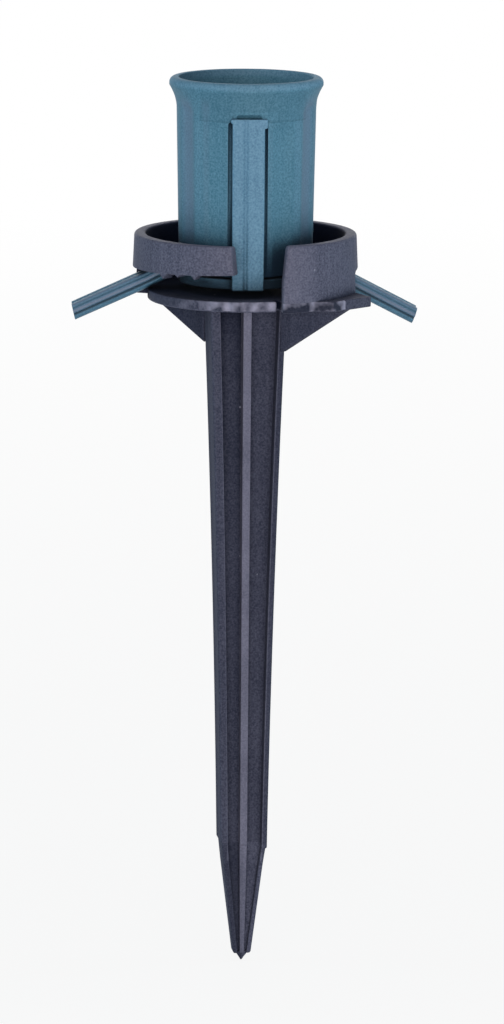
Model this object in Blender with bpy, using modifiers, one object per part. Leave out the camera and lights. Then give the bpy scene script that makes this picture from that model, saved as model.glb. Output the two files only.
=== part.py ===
"""Ground stake with a twist-in collar, holding one lamp socket of a light string.

The stake is a single moulding: an H-section spike, a round platform with two lobes, and a collar of
two posts, each carrying a raised arm. The socket stands on the platform inside the collar. Its flat
cord runs out under both arms, and turning the socket brings the cord to the collar's two openings,
where it lifts out.

Lengths are in metres, angles in degrees. z = 0 is the soil line, the underside of the platform, and
the front faces -Y. A bearing is counted anticlockwise from the front, seen from above.
"""

import math

import bmesh
import bpy
from mathutils import Matrix, Vector

# Clearance between pieces that seat on each other or pass through each other.
GAP = 0.0003

# Spike: half sizes under the platform and at the ledge where the point begins.
SPIKE_LENGTH = 0.1143
LEDGE_DEPTH = 0.0934
SPIKE_HALF_WIDTH_TOP = 0.0064
SPIKE_HALF_WIDTH_LEDGE = 0.0040
SPIKE_HALF_DEPTH_TOP = 0.0042
SPIKE_HALF_DEPTH_LEDGE = 0.0028
LEFT_RAIL_TOP = 0.00165            # left and right as seen from in front, and the same from behind
LEFT_RAIL_LEDGE = 0.00125
RIGHT_RAIL_TOP = 0.00110
RIGHT_RAIL_LEDGE = 0.00095
WEB_THICKNESS = 0.0016
RIB_THICKNESS_TOP = 0.00142
RIB_THICKNESS_LEDGE = 0.00128
RIB_HALF_DEPTH_TOP = 0.0032
RIB_HALF_DEPTH_LEDGE = 0.0023
SPIKE_BOW = 0.45                  # how much faster the taper is near the platform

# Point: from the ledge down to the small pyramid at the tip.
LEDGE_WIDTH = 0.00025
POINT_HALF_WIDTH_END = 0.00155
POINT_HALF_DEPTH_END = 0.0013
POINT_RIB_HALF_DEPTH_END = 0.0012
POINT_THICKNESS_END = 0.00075
POINT_BEVEL = 0.0006
NUB_HALF_WIDTH = 0.0008
NUB_LENGTH = 0.0013

# Platform, its lobes and the gussets under them. Lobe corners are in the plane of the platform.
PLATFORM_RADIUS = 0.0162
PLATFORM_THICKNESS = 0.0017
LOBE_CORNERS = ((0.0042, -0.0159), (0.0121, -0.0170), (0.0192, -0.0118), (0.01735, -0.0070))
NOTCH_BEARING = 11.9
NOTCH_WIDTH = 0.0010
NOTCH_DEPTH = 0.0018
SCALLOP_BEARINGS = (-18.5, -8.0, 2.5)
SCALLOP_HALF_WIDTH = 3.5          # degrees
SCALLOP_DEPTH = 0.00025
GUSSET_THICKNESS = 0.0015
GUSSET_FOOT = (0.0058, -0.0041)   # on the spike's front right corner
GUSSET_TIP = (0.0153, -0.0143)    # under the middle of the lobe's edge
GUSSET_HEIGHT_FRONT = 0.0086
GUSSET_HEIGHT_REAR = 0.0080
GUSSET_TIP_RISE = 0.0002          # how far into the platform the sloping edge runs

# Collar: two posts and two arms. Bearings are for the right post; the other is half a turn on.
COLLAR_TOP = 0.0110
COLLAR_INNER_RADIUS = 0.01645
COLLAR_WALL = 0.00195
COLLAR_DRAFT = 0.0005             # how much further out the wall's foot is than its top
COLLAR_EDGE_RADIUS = 0.00055
POST_BOTTOM_Z = 0.0001
POST_START = 13.0
POST_END = 67.0
ARM_END = 167.0
ARM_ROOT_Z = 0.0050
ARM_TIP_Z = 0.0064
POST_FOOT_TOP = 0.0055
POST_FOOT_STEP = 0.0005
TEETH = ((125.0, 0.0008, 2.5), (135.0, 0.0004, 1.8), (145.0, 0.0007, 2.0))  # bearing, depth, half width

# Socket housing.
SOCKET_TWIST = -6.0               # how the socket stands in the collar at rest
RIM_Z = 0.0368
RIM_RADIUS = 0.0127
RIM_LIP = 0.0013
RIM_EDGE_RADIUS = 0.0003
FLARE_HEIGHT = 0.0027
BODY_RADIUS_TOP = 0.01163
BODY_RADIUS_BOTTOM = 0.01115
MOUTH_RADIUS = 0.01105
MOUTH_DEPTH = 0.0009
MOUTH_CONE_DEPTH = 0.0030
UPPER_BORE_RADIUS = 0.0095
FLOOR_THICKNESS = 0.0039
FLUTE_COUNT = 12
FLUTE_RADIUS = 0.0080
FLUTE_DEPTH = 0.00028
FLUTE_TOP_Z = 0.0300

# Latch cap: a floor under the cord with two arms that snap into channels of the housing.
CAP_BOTTOM_Z = 0.0030
CAP_THICKNESS = 0.00165
CAP_BOSS_RADIUS = 0.0050
LATCH_WIDTH = 0.0051
LATCH_THICKNESS = 0.0012
LATCH_FACE_Y = 0.0122
LATCH_FOOT_Z = 0.0029
LATCH_TOP_Z = 0.0311
LATCH_HEAD_HEIGHT = 0.0009
LATCH_HEAD_EXTRA = 0.0002
LATCH_EDGE_RADIUS = 0.00008
CHANNEL_SIDE_GAP = 0.0005
CATCH_GAP = 0.0006

# Screw shell and centre contact, stamped brass.
THREAD_PITCH = 0.002822
THREAD_OUTER_RADIUS = 0.0086
THREAD_DEPTH = 0.0006
SHELL_WALL = 0.0004
SHELL_LENGTH = 0.0140
THREAD_RUN_IN = 1.37              # turns of thread that start below the shell and are cut off
CONTACT_WALL = 0.0004
CONTACT_WIDTH = 0.0030
CONTACT_RISE = 0.0024
CONTACT_PRONG_X = -0.0053
CONTACT_BEND_X = 0.0015           # where the leaf folds back over itself
CONTACT_TIP_X = -0.0018
PRONG_WIDTH = 0.0010
PRONG_TAB_WIDTH = 0.0018
PRONG_BITE = 0.0005               # how deep a prong goes into the cord's jacket

# Flat cord: two conductors side by side in one jacket, ribbed along its front lobe.
LOBE_RADIUS = 0.00135
LOBE_OFFSET = 0.00125
GROOVES = ((143.5, 0.00014), (195.6, 0.0003))   # place on the front lobe, in degrees, and depth
GROOVE_HALF_WIDTH = 13.0                        # degrees
CONDUCTOR_RADIUS = 0.0006
CONDUCTOR_BORE_RADIUS = 0.00075
CORD_MID_Z = 0.0062
CORD_LEFT_X = -0.0285
CORD_LEFT_Z = -0.00215
CORD_RIGHT_X = 0.0281
CORD_RIGHT_Z = -0.0028
CORD_EDGE_X = 0.0162              # where the cord crosses the platform's edge
CORD_EDGE_Z = 0.00335
CORD_INNER_X = 0.0070             # how far the cord is level on each side of the axis
CORD_BEND = ((0.0132, 0.00135), (0.0117, 0.00075), (0.0103, 0.0003), (0.0088, 0.00006))  # x, drop
BORE_EXTRA = 0.002                # how far a bore's cutter stands out of the cord's ends
TUNNEL_EXTRA = 0.005

# Facets round a turn.
STEPS = 96
FINE_STEPS = 48
PLATFORM_STEP = 2.0               # degrees
WALL_STEP = 4.0                   # degrees
CORNER_STEP = 0.05                # degrees between two outlines that make a square corner
SHELL_STEPS = 24

COLLECTION = "lawn_stake"

CORD_HALF_THICKNESS = LOBE_RADIUS
CAP_TOP_Z = CAP_BOTTOM_Z + CAP_THICKNESS
HOUSING_BOTTOM_Z = CAP_TOP_Z + GAP
FLOOR_BOTTOM_Z = CORD_MID_Z + CORD_HALF_THICKNESS + GAP
FLOOR_TOP_Z = FLOOR_BOTTOM_Z + FLOOR_THICKNESS
SHELL_BOTTOM_Z = FLOOR_TOP_Z + GAP
SHELL_TOP_Z = SHELL_BOTTOM_Z + SHELL_LENGTH
LOWER_BORE_RADIUS = THREAD_OUTER_RADIUS + GAP
PRONG_TIP_Z = CORD_MID_Z + CORD_HALF_THICKNESS - PRONG_BITE
CHANNEL_FLOOR_Y = LATCH_FACE_Y - LATCH_THICKNESS - GAP


def clear_scene():
    """Remove the objects that a new file starts with."""
    for item in list(bpy.data.objects):
        bpy.data.objects.remove(item)


def new_collection(name):
    group = bpy.data.collections.new(name)
    bpy.context.scene.collection.children.link(group)
    return group


def at_bearing(bearing, radius, z=0.0):
    """A point at a bearing from the front, seen from above."""
    turn = math.radians(bearing)
    return Vector((radius * math.sin(turn), -radius * math.cos(turn), z))


def arc(centre, radius, start, end, count):
    """Points of an arc in a plane, from one angle to another."""
    points = []
    for index in range(count + 1):
        turn = math.radians(start + (end - start) * index / count)
        points.append((centre[0] + radius * math.cos(turn), centre[1] + radius * math.sin(turn)))
    return points


def add_object(name, mesh):
    item = bpy.data.objects.new(name, mesh)
    bpy.context.scene.collection.objects.link(item)
    return item


def mesh_object(name, shape):
    """Turn a bmesh into an object, with its faces pointing out."""
    bmesh.ops.remove_doubles(shape, verts=shape.verts, dist=1e-6)
    bmesh.ops.recalc_face_normals(shape, faces=shape.faces)
    mesh = bpy.data.meshes.new(name)
    shape.to_mesh(mesh)
    shape.free()
    return add_object(name, mesh)


def settle(item):
    """Give an object its evaluated mesh, and drop its modifiers."""
    graph = bpy.context.evaluated_depsgraph_get()
    mesh = bpy.data.meshes.new_from_object(item.evaluated_get(graph))
    item.modifiers.clear()
    item.data = mesh


def combine(base, operation, *tools):
    """Join tools to a base, cut them out of it or keep what they share, and use them up."""
    for tool in tools:
        step = base.modifiers.new(operation, "BOOLEAN")
        step.operation = operation
        step.object = tool
        settle(base)
        bpy.data.objects.remove(tool)
    return base


def loft(name, sections):
    """Skin outlines that have the same number of points, and cap both ends."""
    shape = bmesh.new()
    rings = [[shape.verts.new(point) for point in section] for section in sections]
    for ring, following in zip(rings, rings[1:]):
        for index in range(len(ring)):
            beside = (index + 1) % len(ring)
            shape.faces.new((ring[index], ring[beside], following[beside], following[index]))
    shape.faces.new(list(reversed(rings[0])))
    shape.faces.new(rings[-1])
    return mesh_object(name, shape)


def turned(name, profile, steps=STEPS):
    """Turn a profile of (radius, z) points about Z. It runs down its outer side."""
    mesh = bpy.data.meshes.new(name)
    edges = [(index, index + 1) for index in range(len(profile) - 1)]
    if profile[0][0] > 0.0:
        edges.append((len(profile) - 1, 0))
    mesh.from_pydata([(radius, 0.0, z) for radius, z in profile], edges, [])
    item = add_object(name, mesh)
    spin = item.modifiers.new("Turn", "SCREW")
    spin.steps = steps
    spin.render_steps = steps
    spin.use_merge_vertices = True
    spin.merge_threshold = 1e-6
    settle(item)
    return item


def cylinder(name, radius, bottom, top, steps=FINE_STEPS):
    profile = ((0.0, top), (radius, top), (radius, bottom), (0.0, bottom))
    return turned(name, profile, steps)


def plate(name, corners, bottom, top):
    """A flat outline raised from one level to another, from a filled 2D curve."""
    curve = bpy.data.curves.new(name, "CURVE")
    curve.dimensions = "2D"
    curve.fill_mode = "BOTH"
    curve.extrude = (top - bottom) / 2
    line = curve.splines.new("POLY")
    line.points.add(len(corners) - 1)
    for point, corner in zip(line.points, corners):
        point.co = (corner[0], corner[1], 0.0, 1.0)
    line.use_cyclic_u = True
    guide = add_object(name + "_outline", curve)
    graph = bpy.context.evaluated_depsgraph_get()
    mesh = bpy.data.meshes.new_from_object(guide.evaluated_get(graph))
    bpy.data.objects.remove(guide)
    shape = bmesh.new()
    shape.from_mesh(mesh)
    bmesh.ops.translate(shape, vec=(0.0, 0.0, (top + bottom) / 2), verts=shape.verts)
    return mesh_object(name, shape)


def block(name, low, high):
    """A box between two corners."""
    size = Vector(high) - Vector(low)
    centre = (Vector(high) + Vector(low)) / 2
    shape = bmesh.new()
    bmesh.ops.create_cube(shape, size=1.0, matrix=Matrix.Translation(centre) @ Matrix.Diagonal((*size, 1.0)))
    return mesh_object(name, shape)


def turn_object(item, bearing):
    """Turn an object's mesh about Z."""
    item.data.transform(Matrix.Rotation(math.radians(bearing), 4, "Z"))
    return item


def round_edges(item, width, segments=2, angle=40.0):
    bevel = item.modifiers.new("Edges", "BEVEL")
    bevel.width = width
    bevel.segments = segments
    bevel.limit_method = "ANGLE"
    bevel.angle_limit = math.radians(angle)
    settle(item)
    return item


def section_outline(half_width, half_depth, rib_half_depth, left_rail, right_rail, rib, web, z):
    """The spike's section: two rails joined by a web, with a rib in front and behind."""
    left = half_width - left_rail
    right = half_width - right_rail
    web_y = web / 2
    rib_x = rib / 2
    half = [
        (-half_width, -half_depth), (-left, -half_depth), (-left, -web_y),
        (-rib_x, -web_y), (-rib_x, -rib_half_depth), (rib_x, -rib_half_depth), (rib_x, -web_y),
        (right, -web_y), (right, -half_depth), (half_width, -half_depth),
    ]
    return [(x, y, z) for x, y in half] + [(-x, -y, z) for x, y in half]


def spike():
    """The H-section spike, its ledge, its point and the pyramid at the tip."""
    sections = []
    levels = 8
    for index in range(levels + 1):
        share = index / levels
        taper = share * (1 + SPIKE_BOW) - SPIKE_BOW * share * share
        z = PLATFORM_THICKNESS / 2 if index == 0 else -LEDGE_DEPTH * share
        sections.append(section_outline(
            SPIKE_HALF_WIDTH_TOP + (SPIKE_HALF_WIDTH_LEDGE - SPIKE_HALF_WIDTH_TOP) * taper,
            SPIKE_HALF_DEPTH_TOP + (SPIKE_HALF_DEPTH_LEDGE - SPIKE_HALF_DEPTH_TOP) * taper,
            RIB_HALF_DEPTH_TOP + (RIB_HALF_DEPTH_LEDGE - RIB_HALF_DEPTH_TOP) * taper,
            LEFT_RAIL_TOP + (LEFT_RAIL_LEDGE - LEFT_RAIL_TOP) * taper,
            RIGHT_RAIL_TOP + (RIGHT_RAIL_LEDGE - RIGHT_RAIL_TOP) * taper,
            RIB_THICKNESS_TOP + (RIB_THICKNESS_LEDGE - RIB_THICKNESS_TOP) * taper, WEB_THICKNESS, z))
    point_end = SPIKE_LENGTH - NUB_LENGTH - POINT_BEVEL
    sections.append(section_outline(
        SPIKE_HALF_WIDTH_LEDGE - LEDGE_WIDTH, SPIKE_HALF_DEPTH_LEDGE - LEDGE_WIDTH,
        RIB_HALF_DEPTH_LEDGE - LEDGE_WIDTH, LEFT_RAIL_LEDGE - LEDGE_WIDTH,
        RIGHT_RAIL_LEDGE - LEDGE_WIDTH, RIB_THICKNESS_LEDGE, WEB_THICKNESS, -LEDGE_DEPTH - LEDGE_WIDTH))
    thin = POINT_THICKNESS_END
    sections.append(section_outline(
        POINT_HALF_WIDTH_END, POINT_HALF_DEPTH_END, POINT_RIB_HALF_DEPTH_END,
        thin, thin, thin, thin, -point_end))
    sections.append(section_outline(
        POINT_HALF_WIDTH_END - POINT_BEVEL, POINT_HALF_DEPTH_END - POINT_BEVEL,
        POINT_RIB_HALF_DEPTH_END - POINT_BEVEL,
        thin / 2, thin / 2, thin, thin / 2, -point_end - POINT_BEVEL))
    body = loft("spike", sections)
    nub = bmesh.new()
    tip_middle = -SPIKE_LENGTH + NUB_LENGTH / 2
    bmesh.ops.create_cone(
        nub, cap_ends=True, segments=4, radius1=0.0, radius2=NUB_HALF_WIDTH * math.sqrt(2),
        depth=NUB_LENGTH,
        matrix=Matrix.Translation((0.0, 0.0, tip_middle)) @ Matrix.Rotation(math.radians(45), 4, "Z"))
    return combine(body, "UNION", mesh_object("nub", nub))


def arm_underside(bearing):
    """Height of the arm's underside at a bearing, with its teeth."""
    share = (bearing - POST_END) / (ARM_END - POST_END)
    z = ARM_ROOT_Z + (ARM_TIP_Z - ARM_ROOT_Z) * share
    for tooth, depth, half_width in TEETH:
        z -= depth * max(0.0, 1.0 - abs(bearing - tooth) / half_width)
    return z


def wall_section(bearing, bottom, top=COLLAR_TOP):
    """The collar wall's outline at a bearing, with a rounded top."""
    edge = COLLAR_EDGE_RADIUS
    outer = COLLAR_INNER_RADIUS + COLLAR_WALL
    outer_bottom = outer + COLLAR_DRAFT * (1 - bottom / COLLAR_TOP)
    outer_top = outer + COLLAR_DRAFT * (1 - top / COLLAR_TOP)
    outline = [(outer_bottom, bottom)]
    outline += arc((outer_top - edge, top - edge), edge, 0, 90, 3)
    outline += arc((COLLAR_INNER_RADIUS + edge, top - edge), edge, 90, 180, 3)
    outline += [(COLLAR_INNER_RADIUS, bottom)]
    return [at_bearing(bearing, radius, z) for radius, z in outline]


def collar_wall():
    """One post with the arm that it carries."""
    foot_step = math.degrees(POST_FOOT_STEP / (COLLAR_INNER_RADIUS + COLLAR_WALL))
    sections = [
        wall_section(POST_START - foot_step, POST_BOTTOM_Z, POST_FOOT_TOP),
        wall_section(POST_START - CORNER_STEP, POST_BOTTOM_Z, POST_FOOT_TOP),
    ]
    count = round((POST_END - POST_START) / WALL_STEP)
    for index in range(count + 1):
        bearing = POST_START + (POST_END - POST_START) * index / count
        sections.append(wall_section(bearing, POST_BOTTOM_Z))
    bearings = {POST_END + CORNER_STEP, ARM_END}
    bearings.update(
        POST_END + WALL_STEP * (index + 1) for index in range(int((ARM_END - POST_END) / WALL_STEP)))
    for tooth, _, half_width in TEETH:
        bearings.difference_update({b for b in bearings if abs(b - tooth) < half_width})
        bearings.update((tooth - half_width, tooth, tooth + half_width))
    for bearing in sorted(bearings):
        sections.append(wall_section(bearing, arm_underside(bearing)))
    return loft("wall", sections)


def gusset(height):
    """The web that carries a lobe, from the spike's corner out under the lobe."""
    foot = Vector(GUSSET_FOOT)
    along = Vector(GUSSET_TIP) - foot
    across = Vector((-along.y, along.x)).normalized() * (GUSSET_THICKNESS / 2)
    top = PLATFORM_THICKNESS / 2
    outline = ((0.0, top), (1.0, top), (1.0, GUSSET_TIP_RISE), (0.0, -height))
    sections = []
    for side in (-1, 1):
        sections.append([(*(foot + along * share + across * side), z) for share, z in outline])
    return loft("gusset", sections)


def platform():
    """The round platform with its lobes, its notches and the hollows in its rim."""
    corners = []
    for half_turn in (0.0, 180.0):
        lobe_end = math.degrees(math.atan2(LOBE_CORNERS[-1][0], -LOBE_CORNERS[-1][1])) + PLATFORM_STEP / 2
        notch_half = math.degrees(NOTCH_WIDTH / 2 / PLATFORM_RADIUS)
        arc_start = lobe_end - 180.0
        arc_end = NOTCH_BEARING - notch_half
        steps = round((arc_end - arc_start) / PLATFORM_STEP)
        for index in range(steps + 1):
            bearing = arc_start + (arc_end - arc_start) * index / steps
            corners.append(at_bearing(bearing + half_turn, PLATFORM_RADIUS - rim_hollow(bearing)))
        for side in (-notch_half, notch_half):
            corners.append(at_bearing(NOTCH_BEARING + side + half_turn, PLATFORM_RADIUS - NOTCH_DEPTH))
        corners.append(at_bearing(NOTCH_BEARING + notch_half + half_turn, PLATFORM_RADIUS))
        spin = Matrix.Rotation(math.radians(half_turn), 4, "Z")
        corners += [spin @ Vector((x, y, 0.0)) for x, y in LOBE_CORNERS]
    return plate("platform", corners, 0.0, PLATFORM_THICKNESS)


def rim_hollow(bearing):
    """Depth of the shallow hollows in the platform's rim, in front of each opening."""
    depth = 0.0
    for hollow in SCALLOP_BEARINGS:
        share = abs(bearing - hollow) / SCALLOP_HALF_WIDTH
        if share < 1.0:
            depth = SCALLOP_DEPTH * (1.0 + math.cos(math.pi * share)) / 2
    return depth


def stake():
    """The whole moulding: spike, platform, lobes, gussets, posts and arms."""
    body = platform()
    for half_turn, height in ((0.0, GUSSET_HEIGHT_FRONT), (180.0, GUSSET_HEIGHT_REAR)):
        combine(body, "UNION", turn_object(collar_wall(), half_turn))
        combine(body, "UNION", turn_object(gusset(height), half_turn))
    combine(body, "UNION", spike())
    body.name = "stake"
    return body


def cord_route(extra=0.0):
    """Points of the cord's middle line as (x, z), from the left end to the right end."""
    left = Vector((CORD_LEFT_X + CORD_EDGE_X, CORD_LEFT_Z - CORD_EDGE_Z)).normalized() * extra
    right = Vector((CORD_RIGHT_X - CORD_EDGE_X, CORD_RIGHT_Z - CORD_EDGE_Z)).normalized() * extra
    inner = [(x, CORD_MID_Z - drop) for x, drop in CORD_BEND] + [(CORD_INNER_X, CORD_MID_Z)]
    middle_left = (CORD_LEFT_X - CORD_EDGE_X) / 2
    middle_right = (CORD_RIGHT_X + CORD_EDGE_X) / 2
    points = [(CORD_LEFT_X + left.x, CORD_LEFT_Z + left.y)]
    points += [(middle_left, (CORD_LEFT_Z + CORD_EDGE_Z) / 2), (-CORD_EDGE_X, CORD_EDGE_Z)]
    points += [(-x, z) for x, z in inner]
    points += [(x, z) for x, z in reversed(inner)]
    points += [(CORD_EDGE_X, CORD_EDGE_Z), (middle_right, (CORD_RIGHT_Z + CORD_EDGE_Z) / 2)]
    points += [(CORD_RIGHT_X + right.x, CORD_RIGHT_Z + right.y)]
    return points


def along_route(name, outline, extra=0.0):
    """Sweep an outline of (y, up) points along the cord's route."""
    route = [Vector(point) for point in cord_route(extra)]
    sections = []
    for index, point in enumerate(route):
        before = route[max(index - 1, 0)]
        after = route[min(index + 1, len(route) - 1)]
        along = (after - before).normalized()
        sections.append([(point.x - up * along.y, y, point.y + up * along.x) for y, up in outline])
    return loft(name, sections)


def jacket_outline():
    """The flat cord's section: two lobes, the front one with two grooves along it."""
    valley = math.degrees(math.acos(LOBE_OFFSET / LOBE_RADIUS))
    front = []
    points = [(angle, 0.0) for angle in (valley, 55, 90, 110, 169.5, 235, 270, 305, 360 - valley)]
    for place, depth in GROOVES:
        points += [(place - GROOVE_HALF_WIDTH, 0.0), (place, depth), (place + GROOVE_HALF_WIDTH, 0.0)]
    for angle, depth in sorted(points):
        radius = LOBE_RADIUS - depth
        turn = math.radians(angle)
        front.append((-LOBE_OFFSET + radius * math.cos(turn), radius * math.sin(turn)))
    return front + arc((LOBE_OFFSET, 0.0), LOBE_RADIUS, -150, 150, 10)


def round_outline(radius, centre, sides=10):
    return [
        (centre + radius * math.cos(math.tau * side / sides), radius * math.sin(math.tau * side / sides))
        for side in range(sides)
    ]


def tunnel():
    """The space that the cord takes in the housing and the cap, with its clearance."""
    radius = LOBE_RADIUS + GAP
    outline = arc((-LOBE_OFFSET, 0.0), radius, 90, 270, 8) + arc((LOBE_OFFSET, 0.0), radius, -90, 90, 8)
    return along_route("tunnel", outline, extra=TUNNEL_EXTRA)


def cord_jacket():
    jacket = along_route("cord_jacket", jacket_outline())
    for side in (-LOBE_OFFSET, LOBE_OFFSET):
        bore = along_route("bore", round_outline(CONDUCTOR_BORE_RADIUS, side), extra=BORE_EXTRA)
        combine(jacket, "DIFFERENCE", bore)
    for x, y, wall in prong_places():
        combine(jacket, "DIFFERENCE", prong_slot(x, y, wall, PRONG_WIDTH, CORD_MID_Z))
    return jacket


def conductor(name, side):
    return along_route(name, round_outline(CONDUCTOR_RADIUS, side), extra=-GAP)


def prong_places():
    """Where the shell's prong and the contact's prong go down: x, y and thickness."""
    shell_x = THREAD_OUTER_RADIUS - THREAD_DEPTH / 2 - SHELL_WALL / 2
    return ((shell_x, LOBE_OFFSET, SHELL_WALL), (CONTACT_PRONG_X, -LOBE_OFFSET, CONTACT_WALL))


def prong_slot(x, y, wall, width, bottom):
    """The space round a prong, from a level up to above the housing's floor."""
    half_x = wall / 2 + GAP
    half_y = width / 2 + GAP
    return block("slot", (x - half_x, y - half_y, bottom), (x + half_x, y + half_y, FLOOR_TOP_Z + GAP))


def prong(x, y, wall, top):
    """A flat tab that narrows to the prong which pierces the cord."""
    tab = block(
        "tab", (x - wall / 2, y - PRONG_TAB_WIDTH / 2, FLOOR_BOTTOM_Z + GAP),
        (x + wall / 2, y + PRONG_TAB_WIDTH / 2, top))
    point = block(
        "point", (x - wall / 2, y - PRONG_WIDTH / 2, PRONG_TIP_Z),
        (x + wall / 2, y + PRONG_WIDTH / 2, top - GAP))
    return combine(tab, "UNION", point)


def body_radius(z):
    """The housing's outer radius at a height, below the flare."""
    top = RIM_Z - RIM_LIP - FLARE_HEIGHT
    share = (top - z) / (top - HOUSING_BOTTOM_Z)
    return BODY_RADIUS_TOP + (BODY_RADIUS_BOTTOM - BODY_RADIUS_TOP) * share


def housing_profile():
    """The housing's section, from the middle of its floor up the bore and down the outside."""
    edge = RIM_EDGE_RADIUS
    cone_end = RIM_Z - MOUTH_DEPTH - MOUTH_CONE_DEPTH
    profile = [(0.0, FLOOR_TOP_Z), (LOWER_BORE_RADIUS, FLOOR_TOP_Z), (LOWER_BORE_RADIUS, SHELL_TOP_Z + GAP)]
    profile += [(UPPER_BORE_RADIUS, SHELL_TOP_Z + GAP), (UPPER_BORE_RADIUS, cone_end)]
    profile += [(MOUTH_RADIUS, RIM_Z - MOUTH_DEPTH)]
    profile += list(reversed(arc((MOUTH_RADIUS + edge, RIM_Z - edge), edge, 90, 180, 2)))
    profile += list(reversed(arc((RIM_RADIUS - edge, RIM_Z - edge), edge, 0, 90, 3)))
    flare_points = 6
    for index in range(flare_points + 1):
        share = 1 - index / flare_points
        radius = BODY_RADIUS_TOP + (RIM_RADIUS - BODY_RADIUS_TOP) * share ** 1.5
        profile.append((radius, RIM_Z - RIM_LIP - FLARE_HEIGHT * (1 - share)))
    profile += [(BODY_RADIUS_BOTTOM, HOUSING_BOTTOM_Z), (LOWER_BORE_RADIUS, HOUSING_BOTTOM_Z)]
    profile += [(LOWER_BORE_RADIUS, FLOOR_BOTTOM_Z), (0.0, FLOOR_BOTTOM_Z)]
    return profile


def flute(bearing):
    """A shallow upright hollow with an arched top, leaning in with the body's draft."""
    centre = FLUTE_RADIUS - FLUTE_DEPTH
    rounds = 8
    profile = [(0.0, FLUTE_TOP_Z + FLUTE_RADIUS)]
    profile += list(reversed(arc((0.0, FLUTE_TOP_Z), FLUTE_RADIUS, 0, 90, rounds)))[1:]
    profile += [(FLUTE_RADIUS, 0.0), (0.0, 0.0)]
    cutter = turned("flute", profile, STEPS)
    height = FLUTE_TOP_Z - HOUSING_BOTTOM_Z
    lean = math.atan2(body_radius(FLUTE_TOP_Z) - body_radius(HOUSING_BOTTOM_Z), height)
    cutter.data.transform(Matrix.Rotation(lean, 4, "X"))
    foot = body_radius(0.0) + centre
    cutter.data.transform(Matrix.Translation((0.0, -foot, 0.0)))
    return turn_object(cutter, bearing)


def latch_channel():
    """The channel that a latch arm lies in, open at the foot, with the catch's gap above the arm."""
    half = LATCH_WIDTH / 2 + CHANNEL_SIDE_GAP
    return block(
        "channel", (-half, -2 * BODY_RADIUS_TOP, 0.0),
        (half, -CHANNEL_FLOOR_Y, LATCH_TOP_Z + CATCH_GAP))


def socket_housing():
    housing = turned("socket_housing", housing_profile())
    for index in range(FLUTE_COUNT):
        bearing = 360 * index / FLUTE_COUNT
        if bearing not in (0, 180):
            combine(housing, "DIFFERENCE", flute(bearing))
    for half_turn in (0.0, 180.0):
        combine(housing, "DIFFERENCE", turn_object(latch_channel(), half_turn))
    combine(housing, "DIFFERENCE", tunnel())
    for x, y, wall in prong_places():
        slot = prong_slot(x, y, wall, PRONG_TAB_WIDTH, CORD_MID_Z)
        combine(housing, "DIFFERENCE", slot)
    return housing


def latch_arm():
    """One upright arm of the cap, with the wider head that catches at its top."""
    half = LATCH_WIDTH / 2
    head_half = half + LATCH_HEAD_EXTRA
    head_bottom = LATCH_TOP_Z - LATCH_HEAD_HEIGHT
    inner = LATCH_FACE_Y - LATCH_THICKNESS
    right = [(half, LATCH_FOOT_Z), (half, head_bottom), (head_half, head_bottom + LATCH_HEAD_EXTRA)]
    right.append((head_half, LATCH_TOP_Z))
    outline = right + [(-x, z) for x, z in reversed(right)]
    arm = loft("arm", [[(x, -y, z) for x, z in outline] for y in (LATCH_FACE_Y, inner)])
    round_edges(arm, LATCH_EDGE_RADIUS)
    inset = LATCH_THICKNESS / 4
    foot = block(
        "foot", (inset - half, -inner - LATCH_THICKNESS / 2, CAP_BOTTOM_Z + inset),
        (half - inset, -LOWER_BORE_RADIUS, CAP_TOP_Z - inset))
    return combine(arm, "UNION", foot)


def latch_cap():
    boss_bottom = PLATFORM_THICKNESS + GAP
    boss_rise = CAP_BOTTOM_Z - boss_bottom
    profile = [(0.0, CAP_TOP_Z), (BODY_RADIUS_BOTTOM, CAP_TOP_Z), (BODY_RADIUS_BOTTOM, CAP_BOTTOM_Z)]
    profile += [(CAP_BOSS_RADIUS + boss_rise, CAP_BOTTOM_Z), (CAP_BOSS_RADIUS, boss_bottom), (0.0, boss_bottom)]
    cap = turned("latch_cap", profile)
    for half_turn in (0.0, 180.0):
        combine(cap, "UNION", turn_object(latch_arm(), half_turn))
    combine(cap, "DIFFERENCE", tunnel())
    return cap


def screw_shell():
    """The threaded shell, cut square at both ends, with the prong for the rear conductor."""
    waves = 6
    middle = THREAD_OUTER_RADIUS - THREAD_DEPTH / 2
    turns = math.ceil(SHELL_LENGTH / THREAD_PITCH) + 2
    start = SHELL_BOTTOM_Z - THREAD_RUN_IN * THREAD_PITCH
    profile = []
    for index in range(waves + 1):
        share = 1 - index / waves
        radius = middle + THREAD_DEPTH / 2 * math.cos(math.tau * share)
        profile.append((radius, 0.0, start + THREAD_PITCH * share))
    mesh = bpy.data.meshes.new("screw_shell")
    mesh.from_pydata(profile, [(index, index + 1) for index in range(waves)], [])
    shell = add_object("screw_shell", mesh)
    spin = shell.modifiers.new("Thread", "SCREW")
    spin.screw_offset = THREAD_PITCH
    spin.iterations = turns
    spin.steps = SHELL_STEPS
    spin.render_steps = SHELL_STEPS
    spin.use_merge_vertices = True
    spin.merge_threshold = 1e-6
    weld = shell.modifiers.new("Weld", "WELD")
    weld.merge_threshold = 1e-6
    wall = shell.modifiers.new("Wall", "SOLIDIFY")
    wall.thickness = SHELL_WALL
    wall.offset = -1.0
    settle(shell)
    combine(shell, "INTERSECT", cylinder("length", RIM_RADIUS, SHELL_BOTTOM_Z, SHELL_TOP_Z))
    x, y, wall = prong_places()[0]
    tab_top = SHELL_BOTTOM_Z + THREAD_PITCH
    return combine(shell, "UNION", prong(x, y, wall, tab_top))


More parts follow.
